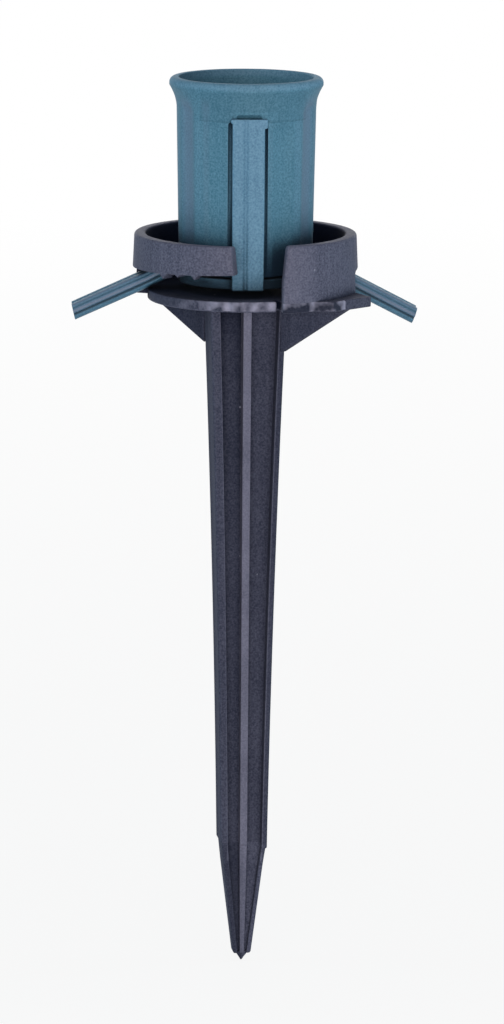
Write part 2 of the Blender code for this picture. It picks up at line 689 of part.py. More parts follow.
def centre_contact():
    """The sprung leaf under the lamp's end, with the prong for the front conductor."""
    base_z = FLOOR_TOP_Z + GAP + CONTACT_WALL / 2
    half = CONTACT_WALL / 2
    path = [(CONTACT_PRONG_X - half, base_z), (0.0, base_z)]
    bend = CONTACT_RISE / 2
    path += arc((CONTACT_BEND_X, base_z + bend), bend, -90, 90, 6)
    path += [(CONTACT_TIP_X, base_z + CONTACT_RISE + half)]
    route = [Vector(point) for point in path]
    sections = []
    for index, point in enumerate(route):
        before = route[max(index - 1, 0)]
        after = route[min(index + 1, len(route) - 1)]
        along = (after - before).normalized()
        across = Vector((-along.y, along.x)) * half
        low = point - across
        high = point + across
        side = CONTACT_WIDTH / 2
        sections.append([(low.x, -side, low.y), (low.x, side, low.y), (high.x, side, high.y), (high.x, -side, high.y)])
    contact = loft("centre_contact", sections)
    x, y, wall = prong_places()[1]
    return combine(contact, "UNION", prong(x, y, wall, base_z + half / 2))


def material(name, color, roughness, metallic=0.0):
    finish = bpy.data.materials.new(name)
    finish.use_nodes = True
    shader = finish.node_tree.nodes["Principled BSDF"]
    shader.inputs["Base Color"].default_value = (*color, 1.0)
    shader.inputs["Roughness"].default_value = roughness
    shader.inputs["Metallic"].default_value = metallic
    return finish


def finish_piece(item, group, finish, parent=None):
    """Move a piece to the part's collection, and give it its finish and its parent."""
    for home in list(item.users_collection):
        home.objects.unlink(item)
    group.objects.link(item)
    item.data.materials.clear()
    item.data.materials.append(finish)
    item.data.shade_smooth()
    item.data.set_sharp_from_angle(angle=math.radians(30))
    item.parent = parent


def twist_axis(group):
    """The axis that the socket turns on in the collar. Its pieces hang from it."""
    axis = bpy.data.objects.new("socket_twist_axis", None)
    axis.rotation_euler = (0.0, 0.0, math.radians(SOCKET_TWIST))
    group.objects.link(axis)
    return axis


def main():
    clear_scene()
    group = new_collection(COLLECTION)
    finish_piece(stake(), group, material("stake_plastic", (0.045, 0.046, 0.066), 0.55))
    axis = twist_axis(group)
    socket_plastic = material("socket_plastic", (0.070, 0.180, 0.250), 0.5)
    cap_plastic = material("cap_plastic", (0.085, 0.200, 0.270), 0.5)
    vinyl = material("cord_vinyl", (0.062, 0.140, 0.205), 0.45)
    brass = material("brass", (0.62, 0.46, 0.20), 0.3, 1.0)
    copper = material("copper", (0.72, 0.35, 0.20), 0.35, 1.0)
    finish_piece(socket_housing(), group, socket_plastic, axis)
    finish_piece(latch_cap(), group, cap_plastic, axis)
    finish_piece(screw_shell(), group, brass, axis)
    finish_piece(centre_contact(), group, brass, axis)
    finish_piece(cord_jacket(), group, vinyl, axis)
    finish_piece(conductor("conductor_front", -LOBE_OFFSET), group, copper, axis)
    finish_piece(conductor("conductor_rear", LOBE_OFFSET), group, copper, axis)


main()
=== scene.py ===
# %% [markdown]
# # A ground stake and the lamp socket that it holds
#
# The object is a dark plastic stake with a round collar on top. One socket of a light string
# stands in the collar, and its flat cord leaves under the collar's two arms.
#
# The imported CAD model has the right sizes and the joint, but plain surfaces. It is loaded first, as
# a fixed frame. Each piece below but the contact leaf is then built again with its rounded edges and
# its fine detail, rides on the same body, and stands for the CAD node that it covers. The leaf keeps
# its CAD shape and gets a brass finish.

# %% Load the imported model
import math

import bmesh
import bpy
from mathutils import Matrix, Vector


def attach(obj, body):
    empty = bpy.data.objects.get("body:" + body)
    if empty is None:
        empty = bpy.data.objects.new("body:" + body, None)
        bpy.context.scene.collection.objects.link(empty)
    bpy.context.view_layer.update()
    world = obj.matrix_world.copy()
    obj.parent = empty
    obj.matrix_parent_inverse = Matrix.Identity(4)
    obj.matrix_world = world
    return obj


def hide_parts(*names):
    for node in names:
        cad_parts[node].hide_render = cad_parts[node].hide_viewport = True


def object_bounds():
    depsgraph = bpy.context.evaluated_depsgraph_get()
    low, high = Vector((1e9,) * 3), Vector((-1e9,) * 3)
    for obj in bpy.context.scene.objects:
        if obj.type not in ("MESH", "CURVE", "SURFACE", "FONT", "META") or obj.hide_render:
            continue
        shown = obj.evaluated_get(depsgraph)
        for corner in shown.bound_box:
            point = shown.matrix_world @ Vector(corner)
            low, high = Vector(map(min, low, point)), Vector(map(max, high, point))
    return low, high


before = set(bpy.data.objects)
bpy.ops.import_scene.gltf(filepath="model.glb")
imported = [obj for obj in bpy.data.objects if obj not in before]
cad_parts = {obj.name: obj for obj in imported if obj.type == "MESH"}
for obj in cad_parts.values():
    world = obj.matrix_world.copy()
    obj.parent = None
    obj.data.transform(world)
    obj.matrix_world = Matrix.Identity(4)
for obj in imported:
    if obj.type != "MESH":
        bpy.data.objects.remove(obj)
CAD_LOW, CAD_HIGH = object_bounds()
print("CAD box in mm:", [round(1000 * side, 1) for side in CAD_HIGH - CAD_LOW])


def add_object(name, data):
    """Put a new object into the scene."""
    item = bpy.data.objects.new(name, data)
    bpy.context.scene.collection.objects.link(item)
    return item


def shape_object(name, shape):
    """Turn a bmesh into an object, and use it up."""
    mesh = bpy.data.meshes.new(name)
    shape.to_mesh(mesh)
    shape.free()
    return add_object(name, mesh)


# %% [markdown]
# ## Camera
#
# The picture was taken from a little left of the front and from above the rim. A camera could be
# placed by eye, but a pinhole camera has few numbers, and they can be solved from outline points
# whose real places are known. These are the solved numbers: where the lens is, where it points, and
# its focal length in pixels. Blender's sensor width belongs to the picture's longer side, which here
# is its height.

# %% Place the camera
PICTURE_HEIGHT, FOCAL_PIXELS, SENSOR = 1024, 4735.0, 36.0
CAMERA_BEARING, CAMERA_DISTANCE, CAMERA_HEIGHT = -8.5, 0.7775, 0.1219    # seen from the stake
CAMERA_PITCH, CAMERA_YAW, CAMERA_ROLL = 11.503, -0.1025, 0.39


def direction(bearing, pitch=0.0):
    """A level bearing, counted anticlockwise from the front, tilted down by a pitch."""
    turn, tilt = math.radians(bearing), math.radians(pitch)
    return Vector((-math.sin(turn) * math.cos(tilt), math.cos(turn) * math.cos(tilt), -math.sin(tilt)))


camera_data = bpy.data.cameras.new("view")
camera_data.sensor_width = SENSOR
camera_data.lens = FOCAL_PIXELS * SENSOR / PICTURE_HEIGHT
camera = add_object("view", camera_data)
sight = direction(CAMERA_BEARING + CAMERA_YAW, CAMERA_PITCH)
right = sight.cross(Vector((0, 0, 1))).normalized()
above = right.cross(sight)
roll = math.radians(CAMERA_ROLL)
right, above = (
    right * math.cos(roll) + above * math.sin(roll), above * math.cos(roll) - right * math.sin(roll))
place = -direction(CAMERA_BEARING) * CAMERA_DISTANCE + Vector((0, 0, CAMERA_HEIGHT))
camera.matrix_world = Matrix.Translation(place) @ Matrix((right, above, -sight)).transposed().to_4x4()
bpy.context.scene.camera = camera
print("camera at", [round(number, 3) for number in place], "lens", round(camera_data.lens, 1), "mm")

# %% [markdown]
# ## Shader sums as Python
#
# A finish is built from many small sums: a noise here, a mask there, one minus the other. Placing
# each node by hand hides the idea, so one class holds a socket and lets Python's own operators add
# the Math nodes. Everything else comes from its `node` method.

# %% A wire that Python can do sums with
class Wire:
    """An output of a shader node, for use in sums."""

    def __init__(self, tree, socket=None):
        self.tree = tree
        self.socket = socket

    def node(self, kind, settings=None, values=None, output=0):
        """Add a node of any type, and give one of its outputs."""
        made = self.tree.nodes.new("ShaderNode" + kind)
        for name, value in (settings or {}).items():
            setattr(made, name, value)
        for name, value in (values or {}).items():
            if isinstance(value, Wire):
                self.tree.links.new(value.socket, made.inputs[name])
            else:
                made.inputs[name].default_value = value
        return Wire(self.tree, made.outputs[output] if made.outputs else None)

    def math(self, operation, first, second=0.0, clamp=False):
        return self.node("Math", {"operation": operation, "use_clamp": clamp}, {0: first, 1: second})

    def __add__(self, other):
        return self.math("ADD", self, other)

    def __sub__(self, other):
        return self.math("SUBTRACT", self, other)

    def __rsub__(self, other):
        return self.math("SUBTRACT", other, self)

    def __mul__(self, other):
        return self.math("MULTIPLY", self, other)

    def __lt__(self, other):
        return self.math("LESS_THAN", self, other)

    def __gt__(self, other):
        return self.math("GREATER_THAN", self, other)

    __radd__ = __add__
    __rmul__ = __mul__

    def __abs__(self):
        return self.math("ABSOLUTE", self)

    def clamp(self):
        return self.math("ADD", self, 0.0, clamp=True)

    def rise(self, start, slope):
        """0 up to a start, and from there up to 1 with a slope. A slope below 0 goes the other way."""
        return ((self - start) * slope).clamp()

    def within(self, low, high):
        """1 where this wire is between two numbers, and 0 elsewhere."""
        return (self > low) * (self < high)

    def mix(self, first, second):
        """Go from one colour to another as this wire goes from 0 to 1. Colours are at sockets 6 and 7."""
        return self.node("Mix", {"data_type": "RGBA"}, {0: self, 6: first, 7: second}, output=2)

    def noise(self, scale, detail=2.0, stretch=(1, 1, 1)):
        """Soft noise over the piece's own coordinates, which this wire carries."""
        spread = self.node("VectorMath", {"operation": "MULTIPLY"}, {0: self, 1: stretch})
        return self.node("TexNoise", values={"Vector": spread, "Scale": scale, "Detail": detail})

    def parts(self):
        """The three coordinates, each as a wire of its own."""
        return [self.node("SeparateXYZ", values={0: self}, output=index) for index in range(3)]


print("wires ready")

# %% What every finish shares
def rgb(red, green, blue):
    """A colour as paint programs write it, 0 to 255, turned into the shader's linear numbers."""
    levels = [level / 255 for level in (red, green, blue)]
    return (*[((level + 0.055) / 1.055) ** 2.4 for level in levels], 1.0)


def new_finish(name, roughness, metallic=0.0, gloss=0.5):
    """A material, and a wire with the piece's own coordinates in metres."""
    finish = bpy.data.materials.new(name)
    finish.use_nodes = True
    inputs = finish.node_tree.nodes["Principled BSDF"].inputs
    inputs["Roughness"].default_value = roughness
    inputs["Metallic"].default_value = metallic
    inputs["Specular IOR Level"].default_value = gloss
    return finish, Wire(finish.node_tree).node("TexCoord", output="Object")


def stirred(level, *noises):
    """A level, and noises that each move it up and down by a reach."""
    for noise, reach in noises:
        level = level + (noise - 0.5) * reach
    return level


def closed_in(spot, reach=0.010):
    """How far a place is shut in by what stands round it, from 0 in the open to 1 in a slot."""
    return 1.0 - spot.node("AmbientOcclusion", {"samples": 12}, {"Distance": reach}, output="AO")


def dress(finish, color, rough, height, depth, strength):
    """Feed a finish its colour and roughness, and bumps that go from 0 to a depth in metres."""
    tree = finish.node_tree
    normal = height.node("Bump", values={"Height": height, "Distance": depth, "Strength": strength})
    for name, wire in (("Base Color", color), ("Roughness", rough), ("Normal", normal)):
        tree.links.new(wire.socket, tree.nodes["Principled BSDF"].inputs[name])
    print(finish.name, "has", len(tree.nodes), "nodes")


print("a grey of 128 is", round(rgb(128, 128, 128)[0], 3), "in a shader")

# %% [markdown]
# ## Floor and light
#
# The picture is a plain studio shot: white all round, and light from everywhere with a little more
# from the front. A white room could be modelled, but a world that is white to the camera and to
# reflections and softer as a light does the same with two Background nodes. The floor is a pale
# plane that adds some of that white for the camera, and keeps the object's soft shadow. Further
# out its share of white grows to the full, so that no pool of light shows below a lamp.

# %% World
WORLD_STRENGTH = 0.14
WHITE = (1.0, 1.0, 1.0, 1.0)


def seen_directly(wire):
    """1 for rays from the camera, and for rays that show the room in a gloss or through a piece."""
    direct, glossy, through = (
        wire.node("LightPath", output=f"Is {kind} Ray") for kind in ("Camera", "Glossy", "Transmission"))
    return (direct + glossy + through).clamp()


bpy.context.scene.view_settings.view_transform = "Standard"
world = bpy.data.worlds.new("studio")
bpy.context.scene.world = world
world.use_nodes = True
world.node_tree.nodes.clear()
sky = Wire(world.node_tree)
lit = sky.node("Background", values={"Color": WHITE, "Strength": WORLD_STRENGTH})
white = sky.node("Background", values={"Color": WHITE, "Strength": 1.0})
both = sky.node("MixShader", values={0: seen_directly(sky), 1: lit, 2: white})
sky.node("OutputWorld", values={"Surface": both})
print("the world lights with a strength of", WORLD_STRENGTH)

# %% Floor
FLOOR_LEVEL = CAD_LOW.z - 0.0002         # just under the stake's point
FLOOR_HALF = 4.0
PAPER = (0.82, 0.82, 0.82, 1.0)
NEAR_WHITE = 0.88                        # the floor's share of white for the camera, near the object
FAR_START, FAR_SLOPE = 0.1, 1.2          # metres from the axis where it starts to grow, and how fast

paper, paper_wire = new_finish("white_floor", 0.9, gloss=0.0)
paper_tree = paper.node_tree
paper_shader = paper_tree.nodes["Principled BSDF"]
paper_shader.inputs["Base Color"].default_value = PAPER
glow = paper_wire.node("Emission", values={"Color": WHITE, "Strength": 1.0})
paper_plain = Wire(paper_tree, paper_shader.outputs["BSDF"])
away = paper_wire.node("VectorMath", {"operation": "LENGTH"}, {0: paper_wire}, output="Value")
share = seen_directly(paper_wire) * (NEAR_WHITE + away.rise(FAR_START, FAR_SLOPE) * (1 - NEAR_WHITE))
sheet = paper_wire.node("MixShader", values={0: share, 1: paper_plain, 2: glow})
paper_tree.links.new(sheet.socket, paper_tree.nodes["Material Output"].inputs["Surface"])

floor_shape = bmesh.new()
level = Matrix.Translation((0, 0, FLOOR_LEVEL))
bmesh.ops.create_grid(floor_shape, x_segments=8, y_segments=8, size=FLOOR_HALF, matrix=level)
floor = shape_object("floor", floor_shape)
floor.data.materials.append(paper)
print("floor at", round(FLOOR_LEVEL, 4))

# %% Lamps
def softbox(name, bearing, pitch, distance, width, height, power, tint=WHITE[:3]):
    """A flat lamp that looks at the middle of the object."""
    lamp_data = bpy.data.lights.new(name, "AREA")
    lamp_data.color = tint
    lamp_data.shape = "RECTANGLE"
    lamp_data.size, lamp_data.size_y = width, height
    lamp_data.energy = power
    lamp = add_object(name, lamp_data)
    aim = direction(bearing, pitch)
    lamp.location = (CAD_LOW + CAD_HIGH) / 2 - aim * distance
    lamp.rotation_mode = "QUATERNION"
    lamp.rotation_quaternion = aim.to_track_quat("-Z", "Y")
    print(name, "at", [round(number, 2) for number in lamp.location])


COOL = (0.5, 0.84, 1.0)
softbox("front", -4.0, 5.0, 1.2, 1.1, 0.5, 12.0)
softbox("left", -96.0, 5.0, 1.2, 0.5, 0.8, 5.7, COOL)
softbox("right", 88.0, 5.0, 1.2, 0.5, 0.8, 5.7, COOL)
softbox("back", 176.0, 12.0, 1.6, 1.6, 0.6, 8.0)
softbox("top", 0.0, 80.0, 1.2, 0.8, 0.8, 2.5)

# %% [markdown]
# ## Shapes from outlines
#
# Nearly all of this object is one outline carried along a line or turned about an axis. Such a
# shape can be modelled by hand, but its sizes are known, so the outline is computed and skinned.
# A corner of an outline gets its radius before the skinning, because a true round edge catches the
# light where a moulding's edge does, and a bevel added later follows a messy mesh badly.

# %% Outlines
def at_bearing(bearing, radius, z=0.0):
    """A point at a bearing from the front, seen from above."""
    turn = math.radians(bearing)
    return Vector((radius * math.sin(turn), -radius * math.cos(turn), z))


def steps(start, end, count):
    """Numbers in even steps, from one to another."""
    return [start + (end - start) * index / count for index in range(count + 1)]


def hump(distance, half):
    """1 in the middle of a band, and 0 from its borders on."""
    return (1 + math.cos(math.pi * min(1.0, abs(distance) / half))) / 2


def arc(centre, radius, start, end, count):
    """Points of an arc in a plane, from one angle to another."""
    turns = [math.radians(angle) for angle in steps(start, end, count)]
    return [(centre[0] + radius * math.cos(turn), centre[1] + radius * math.sin(turn)) for turn in turns]


def rounded(corners, count=4):
    """Give each corner (x, y, radius) of a closed outline its arc."""
    points = []
    for index, (x, y, radius) in enumerate(corners):
        here = Vector((x, y))
        before = (Vector(corners[index - 1][:2]) - here).normalized()
        after = (Vector(corners[(index + 1) % len(corners)][:2]) - here).normalized()
        half = before.angle(after) / 2
        middle = here + (before + after).normalized() * (radius / math.sin(half))
        first = here + before * (radius / math.tan(half)) - middle
        last = here + after * (radius / math.tan(half)) - middle
        start = math.degrees(math.atan2(first.y, first.x))
        swing = (math.degrees(math.atan2(last.y, last.x)) - start + 180.0) % 360.0 - 180.0
        points += arc(middle, radius, start, start + swing, count)
    return points


print("an arc in 4 steps has", len(arc((0.0, 0.0), 1.0, 0, 90, 4)), "points")

# %% Skins
WELD = 0.000001                          # points this close are one


def solid_object(name, shape):
    """Turn a bmesh into an object, welded and with its faces pointing out."""
    bmesh.ops.remove_doubles(shape, verts=shape.verts, dist=WELD)
    bmesh.ops.recalc_face_normals(shape, faces=shape.faces)
    return shape_object(name, shape)


def loft(name, sections, ring=False):
    """Skin outlines that have the same number of points. A ring joins the last to the first."""
    shape = bmesh.new()
    rows = [[shape.verts.new(point) for point in section] for section in sections]
    following = rows[1:] + rows[:1] if ring else rows[1:]
    for row, after in zip(rows, following):
        for index in range(len(row)):
            beside = (index + 1) % len(row)
            shape.faces.new((row[index], row[beside], after[beside], after[index]))
    if not ring:
        shape.faces.new(rows[0][::-1])
        shape.faces.new(rows[-1])
    return solid_object(name, shape)


def turned(name, profile_at, count):
    """Turn a profile about Z. The profile of (radius, z) points may change with the bearing."""
    sections = [
        [at_bearing(bearing, radius, z) for radius, z in profile_at(bearing)]
        for bearing in steps(0.0, 360.0, count)[:-1]]
    return loft(name, sections, ring=True)


def block(name, low, high):
    """A box between two corners."""
    size = Vector(high) - Vector(low)
    shape = bmesh.new()
    middle = Matrix.Translation((Vector(high) + Vector(low)) / 2)
    bmesh.ops.create_cube(shape, size=1.0, matrix=middle @ Matrix.Diagonal((*size, 1.0)))
    return solid_object(name, shape)


print("points are welded within", 1000 * WELD, "mm")

# %% [markdown]
# ## Joining, cutting and handing over
#
# Where shapes meet at a sharp edge, such as a channel's in a wall, a Boolean is the right tool. It
# can leave slits far thinner than a hair. No render shows them, but they leave a mesh open, so they
# are closed before a piece is done. The piece then gets its finish and its shading, rides on a body
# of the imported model, and stands for one of its nodes.

# %% Joining and cutting
SLIT = 0.000002                          # gaps this narrow are closed


def modify(item, kind, **settings):
    """Work a modifier into an object's mesh."""
    step = item.modifiers.new(kind, kind)
    for name, value in settings.items():
        setattr(step, name, value)
    graph = bpy.context.evaluated_depsgraph_get()
    mesh = bpy.data.meshes.new_from_object(item.evaluated_get(graph))
    item.modifiers.clear()
    item.data = mesh
    return item


def close_slits(item):
    """Close the slits that a boolean can leave, and split its many-sided faces into triangles."""
    shape = bmesh.new()
    shape.from_mesh(item.data)
    bmesh.ops.dissolve_degenerate(shape, dist=SLIT, edges=shape.edges)
    bmesh.ops.holes_fill(shape, edges=[edge for edge in shape.edges if edge.is_boundary], sides=0)
    bmesh.ops.triangulate(shape, faces=[face for face in shape.faces if len(face.verts) > 4])
    shape.to_mesh(item.data)
    shape.free()


def combine(base, operation, *tools):
    """Join tools to a base or cut them out of it, and use them up."""
    for tool in tools:
        modify(base, "BOOLEAN", operation=operation, object=tool)
        bpy.data.objects.remove(tool)
    return base


def round_edges(item, width, angle=50.0):
    """Round the edges that are sharper than an angle."""
    return modify(
        item, "BEVEL", width=width, segments=3, limit_method="ANGLE", angle_limit=math.radians(angle))


def turn_object(item, bearing):
    """Turn an object's mesh about Z."""
    item.data.transform(Matrix.Rotation(math.radians(bearing), 4, "Z"))
    return item


def both_sides(base, operation, make):
    """Join or cut a shape in front, and the same shape again after half a turn."""
    for half_turn in (0.0, 180.0):
        combine(base, operation, turn_object(make(), half_turn))


print("slits are closed up to", 1000 * SLIT, "mm")

# %% Handing over
SOCKET_TWIST = -6.0                      # how the socket stands in the collar at rest, in degrees
SHARP_ANGLE = 38.0


def mount(item, body, node, finish):
    """Turn a piece with its body, smooth it, give it its finish, and let it ride for its CAD node."""
    if body == "socket":
        turn_object(item, SOCKET_TWIST)
    close_slits(item)
    item.data.materials.clear()
    item.data.materials.append(finish)
    item.data.shade_smooth()
    item.data.set_sharp_from_angle(angle=math.radians(SHARP_ANGLE))
    item.modifiers.new("Even", "WEIGHTED_NORMAL").keep_sharp = True
    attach(item, body)
    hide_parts(node)
    print(item.name, "has", len(item.data.polygons), "faces")


print("the socket stands at", SOCKET_TWIST, "degrees at rest")

# %% [markdown]
# ## The stake
#
# ### Spike
#
# The spike is an H in section, with a thin rib down the middle of each face, and it tapers to a
# blunt point. In a moulding each corner has its own radius: wide outside, where the soil rubs, and
# tight at the rib. So the section is an outline whose corners carry radii, skinned over many levels.

# %% Section of the spike
SPIKE_HALF_WIDTH = (0.0064, 0.0040)      # under the platform, and at the ledge above the point
SPIKE_HALF_DEPTH = (0.0042, 0.0028)
RIB_HALF_DEPTH = (0.0032, 0.0023)
LEFT_RAIL = (0.00165, 0.00125)           # left and right as seen from in front, and from behind
RIGHT_RAIL = (0.00110, 0.00095)
RIB_THICKNESS = (0.00142, 0.00128)
WEB_THICKNESS = 0.0016
CORNER_RADII = (0.0005, 0.00014, 0.0003, 0.00022, 0.00016)      # edge, lip, root, rib's root and rib's edge


def spike_section(sizes, web, z, soft=1.0, tilt=0.0):
    """The spike's section with its corner radii, which soft scales."""
    half_width, half_depth, rib_half_depth, left_rail, right_rail, rib = sizes
    edge, lip, root, rib_root, rib_edge = (radius * soft for radius in CORNER_RADII)
    left, right_side = half_width - left_rail, half_width - right_rail
    half = [
        (-half_width, -half_depth, edge), (-left, -half_depth, lip), (-left, -web / 2, root),
        (-rib / 2, -web / 2, rib_root), (-rib / 2, -rib_half_depth, rib_edge),
        (rib / 2, -rib_half_depth, rib_edge), (rib / 2, -web / 2, rib_root),
        (right_side, -web / 2, root), (right_side, -half_depth, lip), (half_width, -half_depth, edge),
    ]
    whole = half + [(-x, -y, radius) for x, y, radius in half]
    return [(x, y, z - tilt * x / half_width) for x, y in rounded(whole)]


print("corner radii of the spike in mm:", [round(1000 * radius, 2) for radius in CORNER_RADII])

# %% Spike
SPIKE_LENGTH, LEDGE_DEPTH = 0.1143, 0.0934
SPIKE_BOW = 0.45
LEDGE_WIDTH = 0.00025
LEDGE_TILT = 0.0006                      # how much higher the ledge is on the left
POINT_END = (0.00155, 0.0013, 0.0012, 0.00075, 0.00075, 0.00075)
POINT_BEVEL = 0.0006
NUB_HALF_WIDTH, NUB_LENGTH = 0.0009, 0.0013
PLATFORM_THICKNESS = 0.0017
SPIKE_LEVELS, POINT_LEVELS = 24, 6
POINT_SOFT, POINT_SOFT_LOSS = 0.8, 0.25  # the point's share of the radii, and what it loses on the way
END_STEPS = ((0.35, 0.5), (0.75, 0.42), (1.0, 0.3))             # share of the end's bevel, and of the radii
NUB_STEPS = ((1.0, -0.3), (0.92, 0.06), (0.5, 0.52), (0.16, 0.94), (0.08, 1.0))  # of width and length


def between(first, second, share):
    """The numbers that lie between two rows of numbers."""
    return [a + (b - a) * share for a, b in zip(first, second)]


def spike():
    """The spike from inside the platform to its tip."""
    top, ledge = zip(
        SPIKE_HALF_WIDTH, SPIKE_HALF_DEPTH, RIB_HALF_DEPTH, LEFT_RAIL, RIGHT_RAIL, RIB_THICKNESS)
    sections = []
    for share in steps(0.0, 1.0, SPIKE_LEVELS):
        taper = share * (1 + SPIKE_BOW) - SPIKE_BOW * share * share
        z = PLATFORM_THICKNESS / 2 if share == 0.0 else -LEDGE_DEPTH * share
        tilt = LEDGE_TILT if share == 1.0 else 0.0
        sections.append(spike_section(between(top, ledge, taper), WEB_THICKNESS, z, tilt=tilt))
    step = [size - LEDGE_WIDTH for size in ledge[:-1]] + [ledge[-1]]
    end_z = -SPIKE_LENGTH + NUB_LENGTH + POINT_BEVEL
    start_z = -LEDGE_DEPTH - LEDGE_WIDTH
    thin = POINT_END[-1]
    for share in steps(0.0, 1.0, POINT_LEVELS):
        web = WEB_THICKNESS + (thin - WEB_THICKNESS) * share
        tilt = LEDGE_TILT if share == 0.0 else 0.0
        z = start_z + (end_z - start_z) * share
        soft = POINT_SOFT - POINT_SOFT_LOSS * share
        sections.append(spike_section(between(step, POINT_END, share), web, z, soft, tilt))
    for sink, soft in END_STEPS:
        inset = POINT_BEVEL * (1 - math.sqrt(1 - sink * sink))
        thinner = thin * (1 - inset / POINT_BEVEL / 2)
        sizes = [size - inset for size in POINT_END[:3]] + [thinner, thinner, thin]
        sections.append(spike_section(sizes, thinner, end_z - POINT_BEVEL * sink, soft))
    body = loft("spike", sections)
    nub = []
    for half, drop in NUB_STEPS:
        side = NUB_HALF_WIDTH * half
        corners = [(x * side, y * side, side / 4) for x, y in ((-1, -1), (1, -1), (1, 1), (-1, 1))]
        z = -SPIKE_LENGTH + NUB_LENGTH * (1 - drop)
        nub.append([(x, y, z) for x, y in rounded(corners, 2)])
    return combine(body, "UNION", loft("nub", nub))


stake = spike()
print("spike reaches", round(min(vertex.co.z for vertex in stake.data.vertices) * 1000, 2), "mm")

# %% [markdown]
# ### Platform
#
# The platform is a round plate. Two lobes stick out of it under the cord's exits, each with a narrow
# notch before it, and shallow hollows mark its rim. It could be a disc with parts cut off and added,
# but one closed outline that is raised into a plate has no seams, and one bevel rounds all of it.

# %% Platform
PLATFORM_RADIUS = 0.0162
LOBE_CORNERS = ((0.0042, -0.0159), (0.0121, -0.0170), (0.0192, -0.0118), (0.01735, -0.0070))
NOTCH_BEARING, NOTCH_WIDTH, NOTCH_DEPTH = 11.9, 0.0010, 0.0018
HOLLOW_BEARINGS = (-18.5, -8.0, 2.5)
HOLLOW_HALF_WIDTH, HOLLOW_DEPTH = 3.5, 0.00025
AFTER_LOBE = 1.0                         # where the round rim starts again after a lobe, in degrees
PLATFORM_EDGE, GUSSET_EDGE = 0.00022, 0.00018


def rim_hollow(bearing):
    """Depth of the shallow hollows in the platform's rim."""
    return HOLLOW_DEPTH * max(hump(bearing - hollow, HOLLOW_HALF_WIDTH) for hollow in HOLLOW_BEARINGS)


def platform():
    """The plate with its lobes and notches, the same again after half a turn."""
    notch = math.degrees(NOTCH_WIDTH / 2 / PLATFORM_RADIUS)
    last = LOBE_CORNERS[-1]
    start = math.degrees(math.atan2(last[0], -last[1])) + AFTER_LOBE - 180.0
    end = NOTCH_BEARING - notch
    half = [
        at_bearing(bearing, PLATFORM_RADIUS - rim_hollow(bearing))
        for bearing in steps(start, end, round(end - start))]
    for side, depth in ((-notch, NOTCH_DEPTH), (notch, NOTCH_DEPTH), (notch, 0.0)):
        half.append(at_bearing(NOTCH_BEARING + side, PLATFORM_RADIUS - depth))
    half += [Vector((x, y, 0.0)) for x, y in LOBE_CORNERS]
    corners = half + [-point for point in half]
    lift = Vector((0, 0, PLATFORM_THICKNESS))
    plate = loft("platform", [corners, [corner + lift for corner in corners]])
    return round_edges(plate, PLATFORM_EDGE, angle=35.0)


combine(stake, "UNION", platform())
print("platform joined:", len(stake.data.polygons), "faces")

# %% [markdown]
# ### Gussets
#
# A gusset is the triangular web that carries each lobe. It runs from the spike's corner out to the
# lobe's edge. It is a plain prism, with its free edges rounded.

# %% Gussets
GUSSET_THICKNESS = 0.0015
GUSSET_FOOT, GUSSET_TIP = Vector((0.0058, -0.0041)), Vector((0.0153, -0.0143))
GUSSET_HEIGHTS, GUSSET_TIP_RISE = (0.0086, 0.0080), 0.0002      # in front and behind


def gusset(height):
    """The web under a lobe, which reaches down the spike by a height."""
    along = GUSSET_TIP - GUSSET_FOOT
    across = Vector((-along.y, along.x)).normalized() * (GUSSET_THICKNESS / 2)
    top = PLATFORM_THICKNESS / 2
    outline = ((0.0, top), (1.0, top), (1.0, GUSSET_TIP_RISE), (0.0, -height))
    sections = []
    for side in (-1, 1):
        sections.append([(*(GUSSET_FOOT + along * share + across * side), z) for share, z in outline])
    return round_edges(loft("gusset", sections), GUSSET_EDGE)


for half_turn, height in zip((0.0, 180.0), GUSSET_HEIGHTS):
    combine(stake, "UNION", turn_object(gusset(height), half_turn))
print("gussets joined:", len(stake.data.polygons), "faces")

# %% [markdown]
# ### Collar
#
# The collar is two posts, each with an arm that reaches round to the next opening. The cord lies
# under the arm, and three small teeth there keep it from sliding. A ring could be cut into this
# shape, but a section that is carried round the axis can change its lower edge on the way: down to
# the platform on the post, up to the arm's underside, and down again at each tooth.

# %% Ends and underside of the collar
COLLAR_TOP, COLLAR_INNER_RADIUS, COLLAR_WALL = 0.0110, 0.01645, 0.00195
COLLAR_OUTER_RADIUS = COLLAR_INNER_RADIUS + COLLAR_WALL
POST_START, POST_END, ARM_END = 13.0, 67.0, 167.0
ARM_ROOT_Z, ARM_TIP_Z, ARM_FILLET = 0.0050, 0.0064, 0.0012
TEETH = ((125.0, 0.0008, 2.5), (135.0, 0.0004, 1.8), (145.0, 0.0007, 2.0))      # bearing, depth, half width
END_SKEW, END_FADE = 1.5, 9.0            # how an end face turns in, and how soon that dies out
POST_LEAN, ARM_LEAN = (-1.9, 2.3), (-2.8, 1.6)                  # where an end's slope starts, and its size


def along_wall(length):
    """The bearing that a length along the wall's outside spans."""
    return math.degrees(length / COLLAR_OUTER_RADIUS)


def leaning(bearing, radius, z):
    """The bearing of a wall point, moved where it is near an end that leans and turns in."""
    skew = END_SKEW * (COLLAR_OUTER_RADIUS - radius) / COLLAR_WALL
    above_root = max(0.0, (z - ARM_ROOT_Z) / (COLLAR_TOP - ARM_ROOT_Z))
    post = skew + POST_LEAN[0] + POST_LEAN[1] * above_root
    arm = skew + ARM_LEAN[0] + ARM_LEAN[1] * (COLLAR_TOP - z) / (COLLAR_TOP - ARM_TIP_Z)
    near_start = max(0.0, 1.0 - (bearing - POST_START) / END_FADE)
    near_end = max(0.0, 1.0 - (ARM_END - bearing) / END_FADE)
    return bearing + near_start * post + near_end * arm


